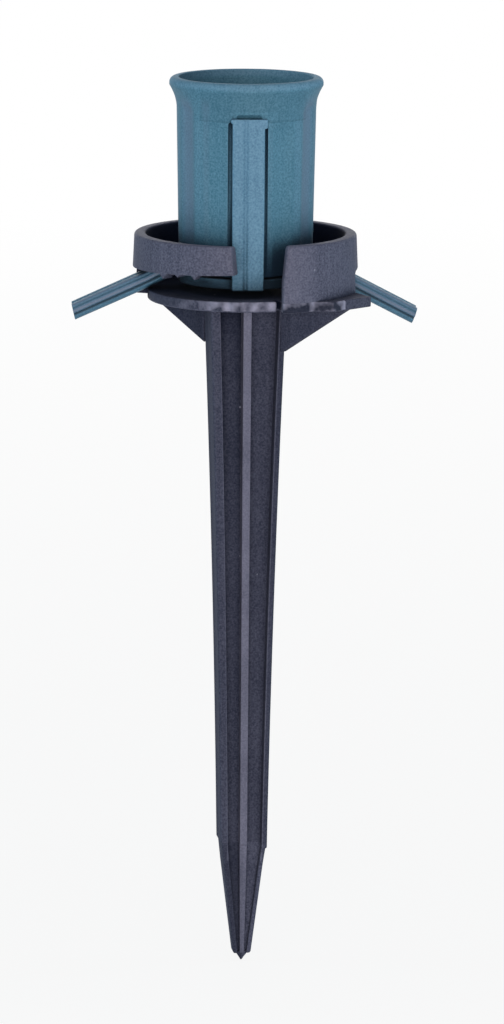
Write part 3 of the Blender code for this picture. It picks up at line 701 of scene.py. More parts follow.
def arm_underside(bearing):
    """Height of the arm's underside at a bearing, with its fillet and its teeth."""
    z = ARM_ROOT_Z + (ARM_TIP_Z - ARM_ROOT_Z) * (bearing - POST_END) / (ARM_END - POST_END)
    short = max(0.0, ARM_FILLET - math.radians(bearing - POST_END) * COLLAR_OUTER_RADIUS)
    fillet = ARM_FILLET - math.sqrt(ARM_FILLET ** 2 - short ** 2)
    tooth = max(depth * max(0.0, 1.0 - abs(bearing - middle) / half) for middle, depth, half in TEETH)
    return z - fillet - tooth


print("teeth reach down to", [round(1000 * arm_underside(tooth[0]), 1) for tooth in TEETH], "mm")

# %% Collar
COLLAR_DRAFT = 0.0005
TOP_RADIUS, FOOT_RADIUS = 0.00045, 0.0002
POST_BOTTOM_Z = 0.0001
WALL_STEP, WALL_LEVELS = 2.0, 6
POST_CORNER, ARM_CORNER = 0.0006, 0.0003
FILLET_SHARES = (0.02, 0.1, 0.25, 0.5, 0.75, 1.0)
TOOTH_SHARES, TOOTH_MARGIN = (-1.0, -0.15, 0.0, 0.15, 1.0), 0.3


def wall_section(bearing, bottom, inset=0.0):
    """The collar wall's outline at a bearing. The inset draws it in where an end's corner rounds."""
    top = COLLAR_TOP - inset / 2
    inner = COLLAR_INNER_RADIUS + inset / 4

    def outer(z):
        return COLLAR_OUTER_RADIUS - inset + COLLAR_DRAFT * (1 - z / COLLAR_TOP)

    low, high = bottom + FOOT_RADIUS, top - TOP_RADIUS
    levels = steps(low, high, WALL_LEVELS)[1:-1]
    outline = arc((outer(low) - FOOT_RADIUS, low), FOOT_RADIUS, -90, 0, 2)
    outline += [(outer(z), z) for z in levels]
    outline += arc((outer(high) - TOP_RADIUS, high), TOP_RADIUS, 0, 90, 4)
    outline += arc((inner + TOP_RADIUS, high), TOP_RADIUS, 90, 180, 4)
    outline += [(inner, z) for z in levels[::-1]]
    outline += arc((inner + FOOT_RADIUS, low), FOOT_RADIUS, 180, 270, 2)
    return [at_bearing(leaning(bearing, radius, z), radius, z) for radius, z in outline]


def corner_steps(radius):
    """Where a rounded upright corner has its sections, and how far each is drawn in."""
    quarter = [math.radians(angle) for angle in steps(0.0, 90.0, 4)]
    return [(along_wall(radius * (1 - math.cos(turn))), radius * (1 - math.sin(turn))) for turn in quarter]


def collar_wall():
    """One post with the arm that it carries."""
    sections = [
        wall_section(POST_START + step, POST_BOTTOM_Z, inset) for step, inset in corner_steps(POST_CORNER)]
    start = POST_START + along_wall(POST_CORNER)
    for bearing in steps(start, POST_END, round((POST_END - start) / WALL_STEP))[1:]:
        sections.append(wall_section(bearing, POST_BOTTOM_Z))
    stop = ARM_END - along_wall(ARM_CORNER)
    bearings = {POST_END + along_wall(ARM_FILLET * share) for share in FILLET_SHARES}
    first = max(bearings)
    bearings.update(steps(first, stop, round((stop - first) / WALL_STEP))[1:-1])
    for tooth, _, half in TEETH:
        bearings.difference_update({b for b in bearings if abs(b - tooth) < half + TOOTH_MARGIN})
        bearings.update(tooth + half * share for share in TOOTH_SHARES)
    for bearing in sorted(bearings):
        sections.append(wall_section(bearing, arm_underside(bearing)))
    for step, inset in reversed(corner_steps(ARM_CORNER)):
        sections.append(wall_section(ARM_END - step, arm_underside(ARM_END), inset))
    return loft("wall", sections)


both_sides(stake, "UNION", collar_wall)
print("collar joined:", len(stake.data.polygons), "faces")

# %% [markdown]
# ### The stake's plastic
#
# The stake is polypropylene, nearly black with a violet cast, from a tool with a fine spark-eroded
# grain. One flat colour would look like paint. The real surface has flow streaks along the spike,
# faint cloudiness and pale dust specks, which noise gives, and soil below the platform. Painted
# shade darkens the closed-in places that an Ambient Occlusion node finds, such as the channels and
# the collar's inside, and parts of the point and the rear gusset. Painted highlights make the middle
# ribs, the rails' inner lips and the collar's front and back paler, and the platform's rim gets pale
# scuffs that are partly a painted highlight. Their places are known from the sizes above, so each is
# a mask from the piece's own coordinates.

# %% Finish: stake_plastic
STAKE_PALE, STAKE_DEEP = rgb(96, 97, 115), rgb(58, 60, 77)
# One colour serves soil and painted shade, one painted highlights, and one the scuffs with their painted
# highlight
STAKE_SOIL_AND_SHADE, STAKE_DUST = rgb(3, 12, 30), rgb(150, 150, 165)
STAKE_PAINTED_HIGHLIGHT, STAKE_SCUFF_AND_HIGHLIGHT = rgb(124, 122, 140), rgb(150, 148, 168)
CELL_SCALE, DUST_RADIUS, DUSTY = 330.0, 0.05, 0.72

stake_finish, spot = new_finish("stake_plastic", 0.66, gloss=0.1)
grain = spot.noise(3300.0, 3.0)
cloud = spot.noise(95.0, 2.0)
streak = spot.noise(1.0, 3.0, stretch=(1100, 1100, 30))
patches = spot.noise(430.0, 2.0)
tone = stirred(0.5, (cloud, 0.7), (streak, 0.6), (grain, 2.4)).clamp()
cells, kind = (
    spot.node("TexVoronoi", values={"Vector": spot, "Scale": CELL_SCALE}, output=name)
    for name in ("Distance", "Color"))
dust = (cells < DUST_RADIUS) * (spot.node("SeparateColor", values={0: kind}) > DUSTY)
print("noise and dust take", len(stake_finish.node_tree.nodes), "nodes")

# %% Where highlights are painted on the stake, and where it is scuffed
RIB_HIGHLIGHT_HALF_WIDTH, LIP_HALF_WIDTH = 0.00078, 0.00014
RIM_BAND = (-0.0008, 0.0004)             # how far in and out of the platform's radius its rim counts
MARGIN = 0.0001                          # how far past a border a mask reaches
SCUFF_AND_HIGHLIGHT_START, EDGE_HIGHLIGHT_START = 0.0095, 0.0155        # how far in front of the axis, or behind it

x, y, z = spot.parts()
below = z < -MARGIN
left_half = x * y > 0.0
share = z * (-1 / LEDGE_DEPTH)
taper = share * (1 + SPIKE_BOW) - share * share * SPIKE_BOW


def tapered(sizes):
    """One of the spike's sizes at this height."""
    return taper * (sizes[1] - sizes[0]) + sizes[0]


rail = left_half * tapered(LEFT_RAIL) + (1.0 - left_half) * tapered(RIGHT_RAIL)
lip_x = tapered(SPIKE_HALF_WIDTH) - rail
# Painted highlight on the fronts of the middle ribs, fading down the spike
on_rib = (abs(x) < RIB_HIGHLIGHT_HALF_WIDTH) * (abs(y) > WEB_THICKNESS / 2 + MARGIN) * below
rib = on_rib * (1.0 - share * 0.35 + (cloud - 0.5) * 0.6)
on_face = (abs(y) > tapered(SPIKE_HALF_DEPTH) - 4 * MARGIN) * below
# Painted highlight along the rails' inner lips
lip = (abs(abs(x) - lip_x) < LIP_HALF_WIDTH) * on_face * 0.35
from_axis = x * x + y * y
inner_edge, outer_edge = ((PLATFORM_RADIUS + step) ** 2 for step in RIM_BAND)
rim = from_axis.within(inner_edge, outer_edge) + (abs(y) > PLATFORM_RADIUS + RIM_BAND[0])
rim = rim.clamp() * z.within(2 * MARGIN, PLATFORM_THICKNESS)
# Pale patches on the rim in front and behind: partly scuffs, partly a painted highlight
scuff_and_highlight = rim * abs(y).rise(SCUFF_AND_HIGHLIGHT_START, 190.0) * patches.rise(0.4, 3.4) * 0.95
# Painted highlight on the collar where it is furthest in front and behind
edge_highlight = (z > PLATFORM_THICKNESS) * abs(y).rise(EDGE_HIGHLIGHT_START, 450.0) * stirred(0.35, (cloud, 0.5))
painted_highlight = (rib + lip + edge_highlight).clamp()
print("with what is rubbed,", len(stake_finish.node_tree.nodes), "nodes")

# %% Where soil has stained the stake, and where shade is painted
# Soil: all below the platform, and darker on the lobes and the rim. Painted shade: darker on two
# quarters of the point and on the rear gusset, lighter on the other quarters and the front gusset
lobe = (from_axis > outer_edge) * z.within(-MARGIN, PLATFORM_THICKNESS)
tip = z < -LEDGE_DEPTH
gusset_side = abs(x) > SPIKE_HALF_WIDTH[0] + 3 * MARGIN
painted_side_shade = tip * (left_half * 0.48 - 0.28) + gusset_side * ((y > 0.0) * 0.34 - 0.14)
soil_and_painted_shade = below * (0.34 + painted_side_shade) + lobe * 0.34 + rim * 0.4

# Painted shade: in what is closed in, such as the channels beside the rib and the place under the
# collar, more in the channels on one side, and on the rails of two quarters
pocket = below * (abs(x) < lip_x + MARGIN) * (0.3 + left_half * (1.4 - share * 1.1))
rail_shade = below * (abs(x) > lip_x + 2 * MARGIN) * (1.0 - left_half) * 0.2
shut = closed_in(spot)
painted_shade = (shut - 0.22) * ((1.0 - below) * 3.2 + pocket) + (shut - 0.55).clamp() * (1.0 - below) * 3.0
painted_shade = (painted_shade + rail_shade).clamp() * (1.0 - (painted_highlight + scuff_and_highlight).clamp() * 0.8)
print("with soil and dirt,", len(stake_finish.node_tree.nodes), "nodes")

# %% The finished stake
# Soil and painted side shade, then painted highlights, scuffs with their painted highlight, painted shade
# where closed in, and dust
color = soil_and_painted_shade.mix(tone.mix(STAKE_DEEP, STAKE_PALE), STAKE_SOIL_AND_SHADE)
color = painted_highlight.mix(color, (tone * 0.8 + 0.1).mix(STAKE_PALE, STAKE_PAINTED_HIGHLIGHT))
color = scuff_and_highlight.mix(color, STAKE_SCUFF_AND_HIGHLIGHT)
color = (dust * 0.5).mix(painted_shade.mix(color, STAKE_SOIL_AND_SHADE), STAKE_DUST)
rough = stirred(0.66, (cloud, 0.16), (grain, 0.3)) + below * 0.2 + painted_shade * 0.34
dress(stake_finish, color, rough.clamp(), grain, 0.00003, 0.8)

stake.name = "stake_moulding"
mount(stake, "stake", "stake", stake_finish)

# %% [markdown]
# ## The socket's plastic
#
# The socket is a blue-green polypropylene with a satin tool finish. Under soft light it shows small
# darker and lighter flecks from the mould's texture. Painted highlights make it paler on the rim and
# on the ridges between the flutes. Painted shade darkens its lowest part under the collar, its
# closed-in places, the flare in front and behind, and one side of its mouth. A painted purplish
# reflection lies in the flutes at the sides. The cap is the same plastic from another shot, a touch
# lighter, with painted highlights on its arms' heads and painted shade on its disc and foot. So one
# function makes both finishes, and takes a second one that says where this piece gets painted
# highlight, shade and reflection.

# %% Where the socket gets painted highlight, shade and reflection
RIM_Z, LATCH_TOP_Z, CAP_TOP_Z = 0.0368, 0.0311, 0.00465
RIM_LIP = 0.0013
FLUTE_COUNT = 12
FLUTES_END = 0.0305                      # the height at which the ridges between the flutes end
WALL_MIN, BORE_MAX = 0.0107, 0.0112      # the outside is further out than one, the bore within the other
SKIRT_LOW, SKIRT_EDGE, SKIRT_HALF_WIDTH = 0.0304, 0.0307, 0.0088        # the flare in front and behind
WINDOW_SPAN, WINDOW_HALF_WIDTH, WINDOW_MIN = (0.0309, 0.0322), 0.0036, 0.010    # above the latch arm
MOUTH_LOW = 0.032
RIDGE_START, REFLECTION_END = 10.5, 11.5      # degrees from a flute's middle
REFLECTION_START, REFLECTION_TOP = 0.0072, 0.0345
SHADE_TOP, CAP_SHADE_TOP, DISC_RADIUS, HEAD_LOW = 0.0175, 0.0062, 0.0116, 0.0295


def housing_marks(spot):
    """Painted highlight on rim and ridges; painted shade low down, on the flare and in one side of the
    mouth; painted reflection in the side flutes.
    """
    x, y, z = spot.parts()
    bearing = spot.math("ARCTAN2", x, y * -1.0) * math.degrees(1.0) - SOCKET_TWIST
    from_flute = spot.math("PINGPONG", bearing, 180.0 / FLUTE_COUNT)
    from_axis = x * x + y * y
    outside = from_axis > WALL_MIN ** 2
    # Painted highlight on the ridges between the flutes and on the rim
    ridge = from_flute.rise(RIDGE_START, 0.3) * (z < FLUTES_END) * outside
    rim = z.rise(RIM_Z - RIM_LIP, 1600.0)
    # Painted shade on the flare in front and behind, darker along its lower edge
    skirt = z.within(SKIRT_LOW, RIM_Z - RIM_LIP - MARGIN) * (abs(x) < SKIRT_HALF_WIDTH) * outside
    skirt = skirt * (1.0 + (z < SKIRT_EDGE))
    # Painted purplish reflection in the flutes at the sides
    painted_reflection = abs(x).rise(REFLECTION_START, 900.0) * z.rise(REFLECTION_TOP, -600.0) * outside
    painted_reflection = painted_reflection * from_flute.rise(REFLECTION_END, -0.14)
    # Less painted shade in the window above the latch arm; more on one side of the mouth, less on the other
    window = z.within(*WINDOW_SPAN) * (abs(x) < WINDOW_HALF_WIDTH) * (abs(y) > WINDOW_MIN)
    mouth = (from_axis < BORE_MAX ** 2) * (z > MOUTH_LOW) * (0.1 - x * 48.0)
    # Painted shade that grows towards the bottom, where the collar stands round the socket
    added_painted_shade = z.rise(SHADE_TOP, -22.0) + skirt * 0.1 - window * 3.0 + mouth
    return ridge * 0.12 + rim * 0.32, added_painted_shade, painted_reflection * 0.3


def cap_marks(spot):
    """The same for the cap: painted highlight on its arms' heads, painted shade on the hidden disc and low
    down, no reflection.
    """
    x, y, z = spot.parts()
    disc = (x * x + y * y < DISC_RADIUS ** 2) * (z < CAP_TOP_Z + 4 * MARGIN)
    return (z > HEAD_LOW) * 0.1, disc * 0.16 + z.rise(CAP_SHADE_TOP, -60.0) * 0.9, z * 0.0


print("flutes stand", 360.0 / FLUTE_COUNT, "degrees apart")

# %% Finishes: socket_plastic and cap_plastic
# Colours of the painted highlight and of the painted purplish reflection
BODY_HIGHLIGHT, BODY_REFLECTION = rgb(122, 156, 182), rgb(112, 114, 140)


def satin_plastic(name, deep, pale, painted_shade, marks):
    """A satin moulding: flecks, faint cloudiness, and painted shade, highlight and reflection."""
    finish, spot = new_finish(name, 0.58, gloss=0.22)
    edge_highlight, added_painted_shade, painted_reflection = marks(spot)
    grain = spot.noise(3300.0, 3.0)
    cloud = spot.noise(130.0, 3.0)
    drawn = spot.noise(1.0, 2.0, stretch=(1500, 1500, 40))
    tone = stirred(0.5, (grain, 2.4), (cloud, 0.6), (drawn, 0.5)).clamp()
    shut = closed_in(spot, 0.014)
    # Painted shade: darker where the place is closed in, and where the marks add it
    shade = (shut.rise(0.2, 1.7) + (shut - 0.42).clamp() * 4.0 + added_painted_shade).clamp()
    color = painted_reflection.mix(tone.mix(deep, pale), BODY_REFLECTION)
    # Painted highlight first, then painted shade over all
    color = shade.mix((edge_highlight * (0.6 + tone * 0.8)).mix(color, BODY_HIGHLIGHT), painted_shade)
    rough = stirred(0.58, (cloud, 0.14), (grain, 0.2)) + shade * 0.3 + edge_highlight * 0.5
    dress(finish, color, rough.clamp(), grain, 0.000025, 0.6)
    return finish


# The third colour of each finish is the colour of its painted shade
socket_finish = satin_plastic(
    "socket_plastic", rgb(56, 101, 122), rgb(87, 130, 151), rgb(10, 30, 46), housing_marks)
cap_finish = satin_plastic(
    "cap_plastic", rgb(76, 116, 143), rgb(106, 146, 171), rgb(10, 26, 38), cap_marks)

# %% [markdown]
# ## The cord's way
#
# The flat cord comes in on the left, rises over the platform's edge, passes level through the
# socket, and leaves on the right the same way. It is a stiff stub of a light string, held by the
# socket all along, so it isn't a free cord: it turns with the socket. The route is a short list of
# points, and the jacket, its bores, the wires and the space for all of them are swept along it.

# %% Route of the cord
GAP = 0.0003                             # clearance between two pieces
LOBE_RADIUS, LOBE_OFFSET = 0.00135, 0.00125
CORD_MID_Z, CORD_INNER_X = 0.0062, 0.0070
CORD_EDGE_X, CORD_EDGE_Z = 0.0162, 0.00335
CORD_LEFT, CORD_RIGHT = Vector((-0.0285, -0.00215)), Vector((0.0281, -0.0028))
CORD_BEND = ((0.0132, 0.00135), (0.0117, 0.00075), (0.0103, 0.0003), (0.0088, 0.00006))    # x and drop
TUNNEL_EXTRA, BORE_EXTRA = 0.005, 0.002  # how far a cutter stands out of the cord's ends


def cord_route(extra=0.0):
    """Points of the cord's middle line as (x, z), from the left end to the right end."""
    inner = [(x, CORD_MID_Z - drop) for x, drop in CORD_BEND] + [(CORD_INNER_X, CORD_MID_Z)]
    halves = []
    for side, end in ((-1, CORD_LEFT), (1, CORD_RIGHT)):
        edge = Vector((side * CORD_EDGE_X, CORD_EDGE_Z))
        outer = [end + (end - edge).normalized() * extra, (end + edge) / 2, edge]
        halves.append(outer + [Vector((side * x, z)) for x, z in inner])
    return halves[0] + halves[1][::-1]


def along_route(name, outline, extra=0.0, cut=(0.0, 0.0)):
    """Sweep an outline of (y, up) points along the cord's route. A cut turns each end face."""
    route = cord_route(extra)
    sections = []
    for index, point in enumerate(route):
        along = (route[min(index + 1, len(route) - 1)] - route[max(index - 1, 0)]).normalized()
        if index in (0, len(route) - 1):
            along.rotate(Matrix.Rotation(math.radians(cut[0 if index == 0 else 1]), 2))
        sections.append([(point.x - up * along.y, y, point.y + up * along.x) for y, up in outline])
    return loft(name, sections)


def tunnel():
    """The space that the cord takes in the housing and the cap, with its clearance."""
    radius = LOBE_RADIUS + GAP
    outline = arc((-LOBE_OFFSET, 0.0), radius, 90, 270, 16) + arc((LOBE_OFFSET, 0.0), radius, -90, 90, 16)
    return along_route("tunnel", outline, extra=TUNNEL_EXTRA)


route_length = sum((b - a).length for a, b in zip(cord_route(), cord_route()[1:]))
print("cord is", round(1000 * route_length, 1), "mm long")

# %% [markdown]
# ## The socket housing
#
# The housing is a deep cup with a flared rim. Ten shallow flutes run up its outside and end in soft
# arches, and two channels in front and behind take the cap's latch arms. The flare comes further
# down in front and behind than at the sides, where the flutes run up higher. Cutting flutes with
# cylinders leaves long thin faces that shade in streaks. Here the wall's radius is a function of
# bearing and height instead, so the flutes are part of an even grid, and only the channels and the
# cord's tunnel, whose edges are truly sharp, are cut afterwards.

# %% Wall of the housing
RIM_RADIUS, HOUSING_BOTTOM_Z = 0.0127, 0.00495
FLARE_HEIGHT = (0.0049, 0.0027)          # in front and behind, and at the sides
FLARE_TURN = (44.0, 74.0)                # bearings between which it goes from one to the other
FLARE_POWER = 1.5                        # 1 would give a straight cone
BODY_RADIUS_TOP, BODY_RADIUS_BOTTOM = 0.01163, 0.01115
FLUTE_RADIUS, FLUTE_DEPTH = 0.0080, 0.0004
FLUTE_TOP_Z, FLUTE_END_RADIUS = (0.0289, 0.0315), 0.0022        # beside the channels, and at the sides
FLUTE_SOFTNESS = 0.00004


def body_radius(bearing, z):
    """The housing's outer radius at a place, with the flare but without flutes."""
    flare_top = RIM_Z - RIM_LIP
    straight_top = flare_top - FLARE_HEIGHT[1]
    drop = max(0.0, (straight_top - z) / (straight_top - HOUSING_BOTTOM_Z))
    radius = BODY_RADIUS_TOP + (BODY_RADIUS_BOTTOM - BODY_RADIUS_TOP) * drop
    aside = min(bearing % 180.0, 180.0 - bearing % 180.0)
    turn = min(1.0, max(0.0, (aside - FLARE_TURN[0]) / (FLARE_TURN[1] - FLARE_TURN[0])))
    height = FLARE_HEIGHT[0] + (FLARE_HEIGHT[1] - FLARE_HEIGHT[0]) * math.sin(math.pi / 2 * turn)
    share = max(0.0, 1.0 - (flare_top - z) / height)
    return radius + (RIM_RADIUS - BODY_RADIUS_TOP) * share ** FLARE_POWER


def flute_depth(bearing, z):
    """How deep the nearest flute is here, with a soft edge. The latch channels take two places."""
    pitch = 360.0 / FLUTE_COUNT
    nearest = round(bearing / pitch)
    place = nearest % (FLUTE_COUNT // 2)
    if place == 0:
        return 0.0
    across = math.radians(bearing - nearest * pitch) * BODY_RADIUS_TOP
    over = max(0.0, z - FLUTE_TOP_Z[0 if place in (1, FLUTE_COUNT // 2 - 1) else 1])
    arch = over ** 2 / 2 / FLUTE_END_RADIUS
    sink = FLUTE_DEPTH - across ** 2 / 2 * (1 / FLUTE_RADIUS + 1 / BODY_RADIUS_TOP) - arch
    return (sink + math.sqrt(sink * sink + FLUTE_SOFTNESS ** 2)) / 2


print("a side flute's depth in mm, going up:", [
    round(1000 * flute_depth(90.0, z), 2) for z in steps(FLUTE_TOP_Z[1], RIM_Z - RIM_LIP, 4)])

# %% Profile of the housing
MOUTH_RADIUS, MOUTH_DEPTH, MOUTH_CONE_DEPTH = 0.01105, 0.0009, 0.0030
UPPER_BORE_RADIUS, LOWER_BORE_RADIUS = 0.0095, 0.0089
FLOOR_BOTTOM_Z, FLOOR_TOP_Z = 0.00785, 0.01175
SHELL_BOTTOM_Z, SHELL_TOP_Z = 0.01205, 0.02605
HOUSING_EDGE, RIM_ROUND = 0.0003, 0.0009
FLARE_LEVELS, FLARE_STEP, BODY_LEVELS = 38, 0.0002, 12


def housing_profile(bearing):
    """The housing's section at a bearing, from its floor up the bore and down the outside."""
    edge = HOUSING_EDGE
    profile = [(0.0, FLOOR_TOP_Z), (LOWER_BORE_RADIUS - edge, FLOOR_TOP_Z)]
    profile += arc((LOWER_BORE_RADIUS - edge, FLOOR_TOP_Z + edge), edge, -90, 0, 3)[1:]
    step_z = SHELL_TOP_Z + GAP
    profile += [(LOWER_BORE_RADIUS, step_z), (UPPER_BORE_RADIUS, step_z)]
    mouth_z = RIM_Z - MOUTH_DEPTH
    profile += [(UPPER_BORE_RADIUS, mouth_z - MOUTH_CONE_DEPTH), (MOUTH_RADIUS, mouth_z)]
    profile += arc((MOUTH_RADIUS + edge, RIM_Z - edge), edge, 90, 180, 4)[::-1]
    profile += arc((RIM_RADIUS - RIM_ROUND, RIM_Z - RIM_ROUND), RIM_ROUND, 0, 90, 6)[::-1]
    low = HOUSING_BOTTOM_Z
    levels = [RIM_Z - RIM_LIP - FLARE_STEP * index for index in range(FLARE_LEVELS)]
    levels += steps(levels[-1], low + edge, BODY_LEVELS)[1:]
    profile += [(body_radius(bearing, z) - flute_depth(bearing, z), z) for z in levels]
    foot = body_radius(bearing, low) - flute_depth(bearing, low) - edge
    profile += arc((foot, low + edge), edge, 0, -90, 3)[1:]
    profile += [(LOWER_BORE_RADIUS, low), (LOWER_BORE_RADIUS, FLOOR_BOTTOM_Z), (0.0, FLOOR_BOTTOM_Z)]
    return profile


print("the housing's profile has", len(housing_profile(0.0)), "points")

# %% What is cut out of the housing
LATCH_WIDTH, LATCH_THICKNESS, LATCH_FACE_Y = 0.0051, 0.0012, 0.0122
CHANNEL_OUTLINE = (                      # x, z and corner radius, with its narrower top
    (-0.0034, 0.0, 0.0001), (-0.0034, 0.0303, 0.0004), (-0.0022, 0.0312, 0.0003), (-0.0019, 0.0318, 0.0004),
    (0.0019, 0.0318, 0.0004), (0.0022, 0.0312, 0.0003), (0.0031, 0.0302, 0.0004), (0.0031, 0.0, 0.0001),
)
CHANNEL_SLOPE = 0.0008                   # how much lower the window's top is at the channel's floor
THREAD_OUTER_RADIUS, THREAD_DEPTH, THREAD_PITCH = 0.0086, 0.0006, 0.002822
SHELL_WALL = 0.0004
PRONG_X = (THREAD_OUTER_RADIUS - THREAD_DEPTH / 2 - SHELL_WALL / 2, -0.0053)    # the shell's, the leaf's
PRONG_TAB_WIDTH = 0.0018


def latch_channel():
    """The channel that a latch arm lies in, with the window above the arm's head."""
    outline = rounded(CHANNEL_OUTLINE)
    floor_y = LATCH_FACE_Y - LATCH_THICKNESS - GAP
    sections = []
    for y, drop in ((-2 * BODY_RADIUS_TOP, 0.0), (-BODY_RADIUS_TOP, 0.0), (-floor_y, CHANNEL_SLOPE)):
        sections.append([(x, y, z - drop * (z > LATCH_TOP_Z + MARGIN)) for x, z in outline])
    return loft("channel", sections)


def prong_slot(x, y):
    """The hole in the housing's floor that a brass prong goes down."""
    half_x, half_y = SHELL_WALL / 2 + GAP, PRONG_TAB_WIDTH / 2 + GAP
    return block("slot", (x - half_x, y - half_y, CORD_MID_Z), (x + half_x, y + half_y, FLOOR_TOP_Z + GAP))


print("the prongs go down at x =", [round(1000 * x, 1) for x in PRONG_X], "mm")

# %% Housing
HOUSING_STEPS = 288

housing = turned("socket_body", housing_profile, HOUSING_STEPS)
both_sides(housing, "DIFFERENCE", latch_channel)
combine(housing, "DIFFERENCE", tunnel())
combine(housing, "DIFFERENCE", prong_slot(PRONG_X[0], LOBE_OFFSET), prong_slot(PRONG_X[1], -LOBE_OFFSET))
mount(housing, "socket", "socket_housing", socket_finish)

# %% [markdown]
# ## The latch cap
#
# The cap closes the socket from below and presses the cord onto the prongs. Its two arms lie in the
# housing's channels and catch at the top with a slightly wider head. The front arm is the pale strip
# of the picture. It isn't flat: a shallow sink line runs down its middle, which moulded strips get
# where they cool last, so its section is an outline with that dip, carried up the arm.

# %% Latch arm
CAP_BOTTOM_Z = 0.0030
LATCH_FOOT_Z, LATCH_STEP, LATCH_LEVELS = 0.0029, 0.004, 6
LATCH_EDGE, LATCH_END = 0.00022, 0.0002  # radii of its upright edges, and of its two ends
LATCH_LEFT, LATCH_RIGHT = 0.0027, 0.00255
HEAD_LEFT, HEAD_RIGHT = (0.0303, 0.00025), (0.0295, 0.00045)    # where each side widens, and by how much
HEAD_SLOPE = 0.0002
SINK_DEPTH, SINK_HALF_WIDTH, SINK_X, SINK_STEPS = 0.00026, 0.00055, -0.0005, 6


def latch_section(z, inset=0.0):
    """The arm's section at a height. The inset draws it in where an end is rounded."""
    face, inner = LATCH_FACE_Y - inset, LATCH_FACE_Y - LATCH_THICKNESS + inset
    left, right_side = (
        width - inset + extra * min(1.0, max(0.0, (z - start) / HEAD_SLOPE))
        for width, (start, extra) in ((LATCH_LEFT, HEAD_LEFT), (LATCH_RIGHT, HEAD_RIGHT)))
    edge = LATCH_EDGE
    front = arc((-left + edge, -face + edge), edge, 180, 270, 4)
    for index in range(-SINK_STEPS, SINK_STEPS + 1):
        x = SINK_X + SINK_HALF_WIDTH * index / SINK_STEPS
        front.append((x, -face + SINK_DEPTH * hump(index, SINK_STEPS)))
    front += arc((right_side - edge, -face + edge), edge, 270, 360, 4)
    return [(x, y, z) for x, y in front + [(right_side, -inner), (-left, -inner)]]


def latch_arm():
    """One upright arm of the cap, with its head."""
    levels = [LATCH_FOOT_Z + LATCH_END]
    levels += [LATCH_FOOT_Z + LATCH_STEP * index for index in range(1, LATCH_LEVELS + 1)]
    levels += [start + step for start, _ in (HEAD_RIGHT, HEAD_LEFT) for step in (0.0, HEAD_SLOPE)]
    sections = [latch_section(LATCH_FOOT_Z, LATCH_END)] + [latch_section(z) for z in levels]
    for drop, inset in ((1.0, 0.0), (0.3, 0.3), (0.0, 1.0)):
        sections.append(latch_section(LATCH_TOP_Z - LATCH_END * drop, LATCH_END * inset))
    arm = loft("arm", sections)
    half, inset = LATCH_WIDTH / 2, LATCH_THICKNESS / 4
    inner = LATCH_FACE_Y - LATCH_THICKNESS
    foot = block(
        "foot", (inset - half, -inner - LATCH_THICKNESS / 2, CAP_BOTTOM_Z + inset),
        (half - inset, -LOWER_BORE_RADIUS, CAP_TOP_Z - inset))
    return combine(arm, "UNION", foot)


print("a latch arm is", round(1000 * (LATCH_TOP_Z - LATCH_FOOT_Z), 1), "mm high")

# %% Cap
CAP_BOSS_RADIUS, CAP_EDGE, CAP_STEPS = 0.0050, 0.00025, 192


def cap_profile(bearing):
    """The cap's disc and the boss under it, the same at every bearing."""
    boss_bottom = PLATFORM_THICKNESS + GAP
    boss_rise = CAP_BOTTOM_Z - boss_bottom
    edge, side = CAP_EDGE, BODY_RADIUS_BOTTOM - CAP_EDGE
    profile = [(0.0, CAP_TOP_Z)] + arc((side, CAP_TOP_Z - edge), edge, 0, 90, 4)[::-1]
    profile += arc((side, CAP_BOTTOM_Z + edge), edge, 0, -90, 4)
    profile += [(CAP_BOSS_RADIUS + boss_rise, CAP_BOTTOM_Z), (CAP_BOSS_RADIUS, boss_bottom)]
    return profile + [(0.0, boss_bottom)]


cap = turned("cord_cap", cap_profile, CAP_STEPS)
both_sides(cap, "UNION", latch_arm)
combine(cap, "DIFFERENCE", tunnel())
mount(cap, "socket", "latch_cap", cap_finish)

# %% [markdown]
# ## The cord
#
# The cord is vinyl, squeezed out in one length with two lobes. The front lobe has two grooves along
# it, so that an electrician can tell the wires apart by touch. Vinyl is softer than the socket's
# plastic and shows it: a low sheen, faint draw lines along its length, and no sharp edge anywhere.
# The lands beside the grooves get a painted grey highlight, and the grooves and the closed-in places
# get painted shade. Where these bands run depends on the place round the lobe, so the mesh itself
# carries them, as two numbers on each point.

# %% Finish: cord_vinyl
# Colours of the cord, of its painted shade, of the painted highlight on the lands and of the painted shade
# in the grooves
CORD_DEEP, CORD_PALE, CORD_SHADE = rgb(52, 92, 116), rgb(84, 124, 148), rgb(10, 20, 30)
CORD_LAND_HIGHLIGHT, CORD_GROOVE_SHADE = rgb(103, 106, 126), rgb(30, 52, 68)

cord_finish, spot = new_finish("cord_vinyl", 0.5, gloss=0.3)
drawn = spot.noise(1.0, 3.0, stretch=(60, 2600, 2600))
cloud = spot.noise(260.0, 2.0)
grain = spot.noise(3600.0, 2.0)
land, groove = (
    spot.node("Attribute", {"attribute_name": name}, output="Fac") for name in ("land", "groove"))
tone = stirred(0.5, (drawn, 0.9), (cloud, 0.6), (grain, 1.6)).clamp()
# Painted grey highlight on the lands, then painted shade in the grooves
color = (land * (0.45 + tone * 0.4)).mix(tone.mix(CORD_DEEP, CORD_PALE), CORD_LAND_HIGHLIGHT)
color = (groove * 0.85).mix(color, CORD_GROOVE_SHADE)
# Painted shade where the cord is closed in, near and further round
for reach, start, slope in ((0.0015, 0.1, 2.4), (0.007, 0.4, 1.8)):
    color = closed_in(spot, reach).rise(start, slope).mix(color, CORD_SHADE)
dress(cord_finish, color, stirred(0.5, (cloud, 0.2)), drawn, 0.00002, 0.5)

# %% Section of the cord
GROOVES = ((143.5, 15.0, 0.00014), (195.6, 17.0, 0.00030))      # place, half width and depth
JACKET_STEPS = 72


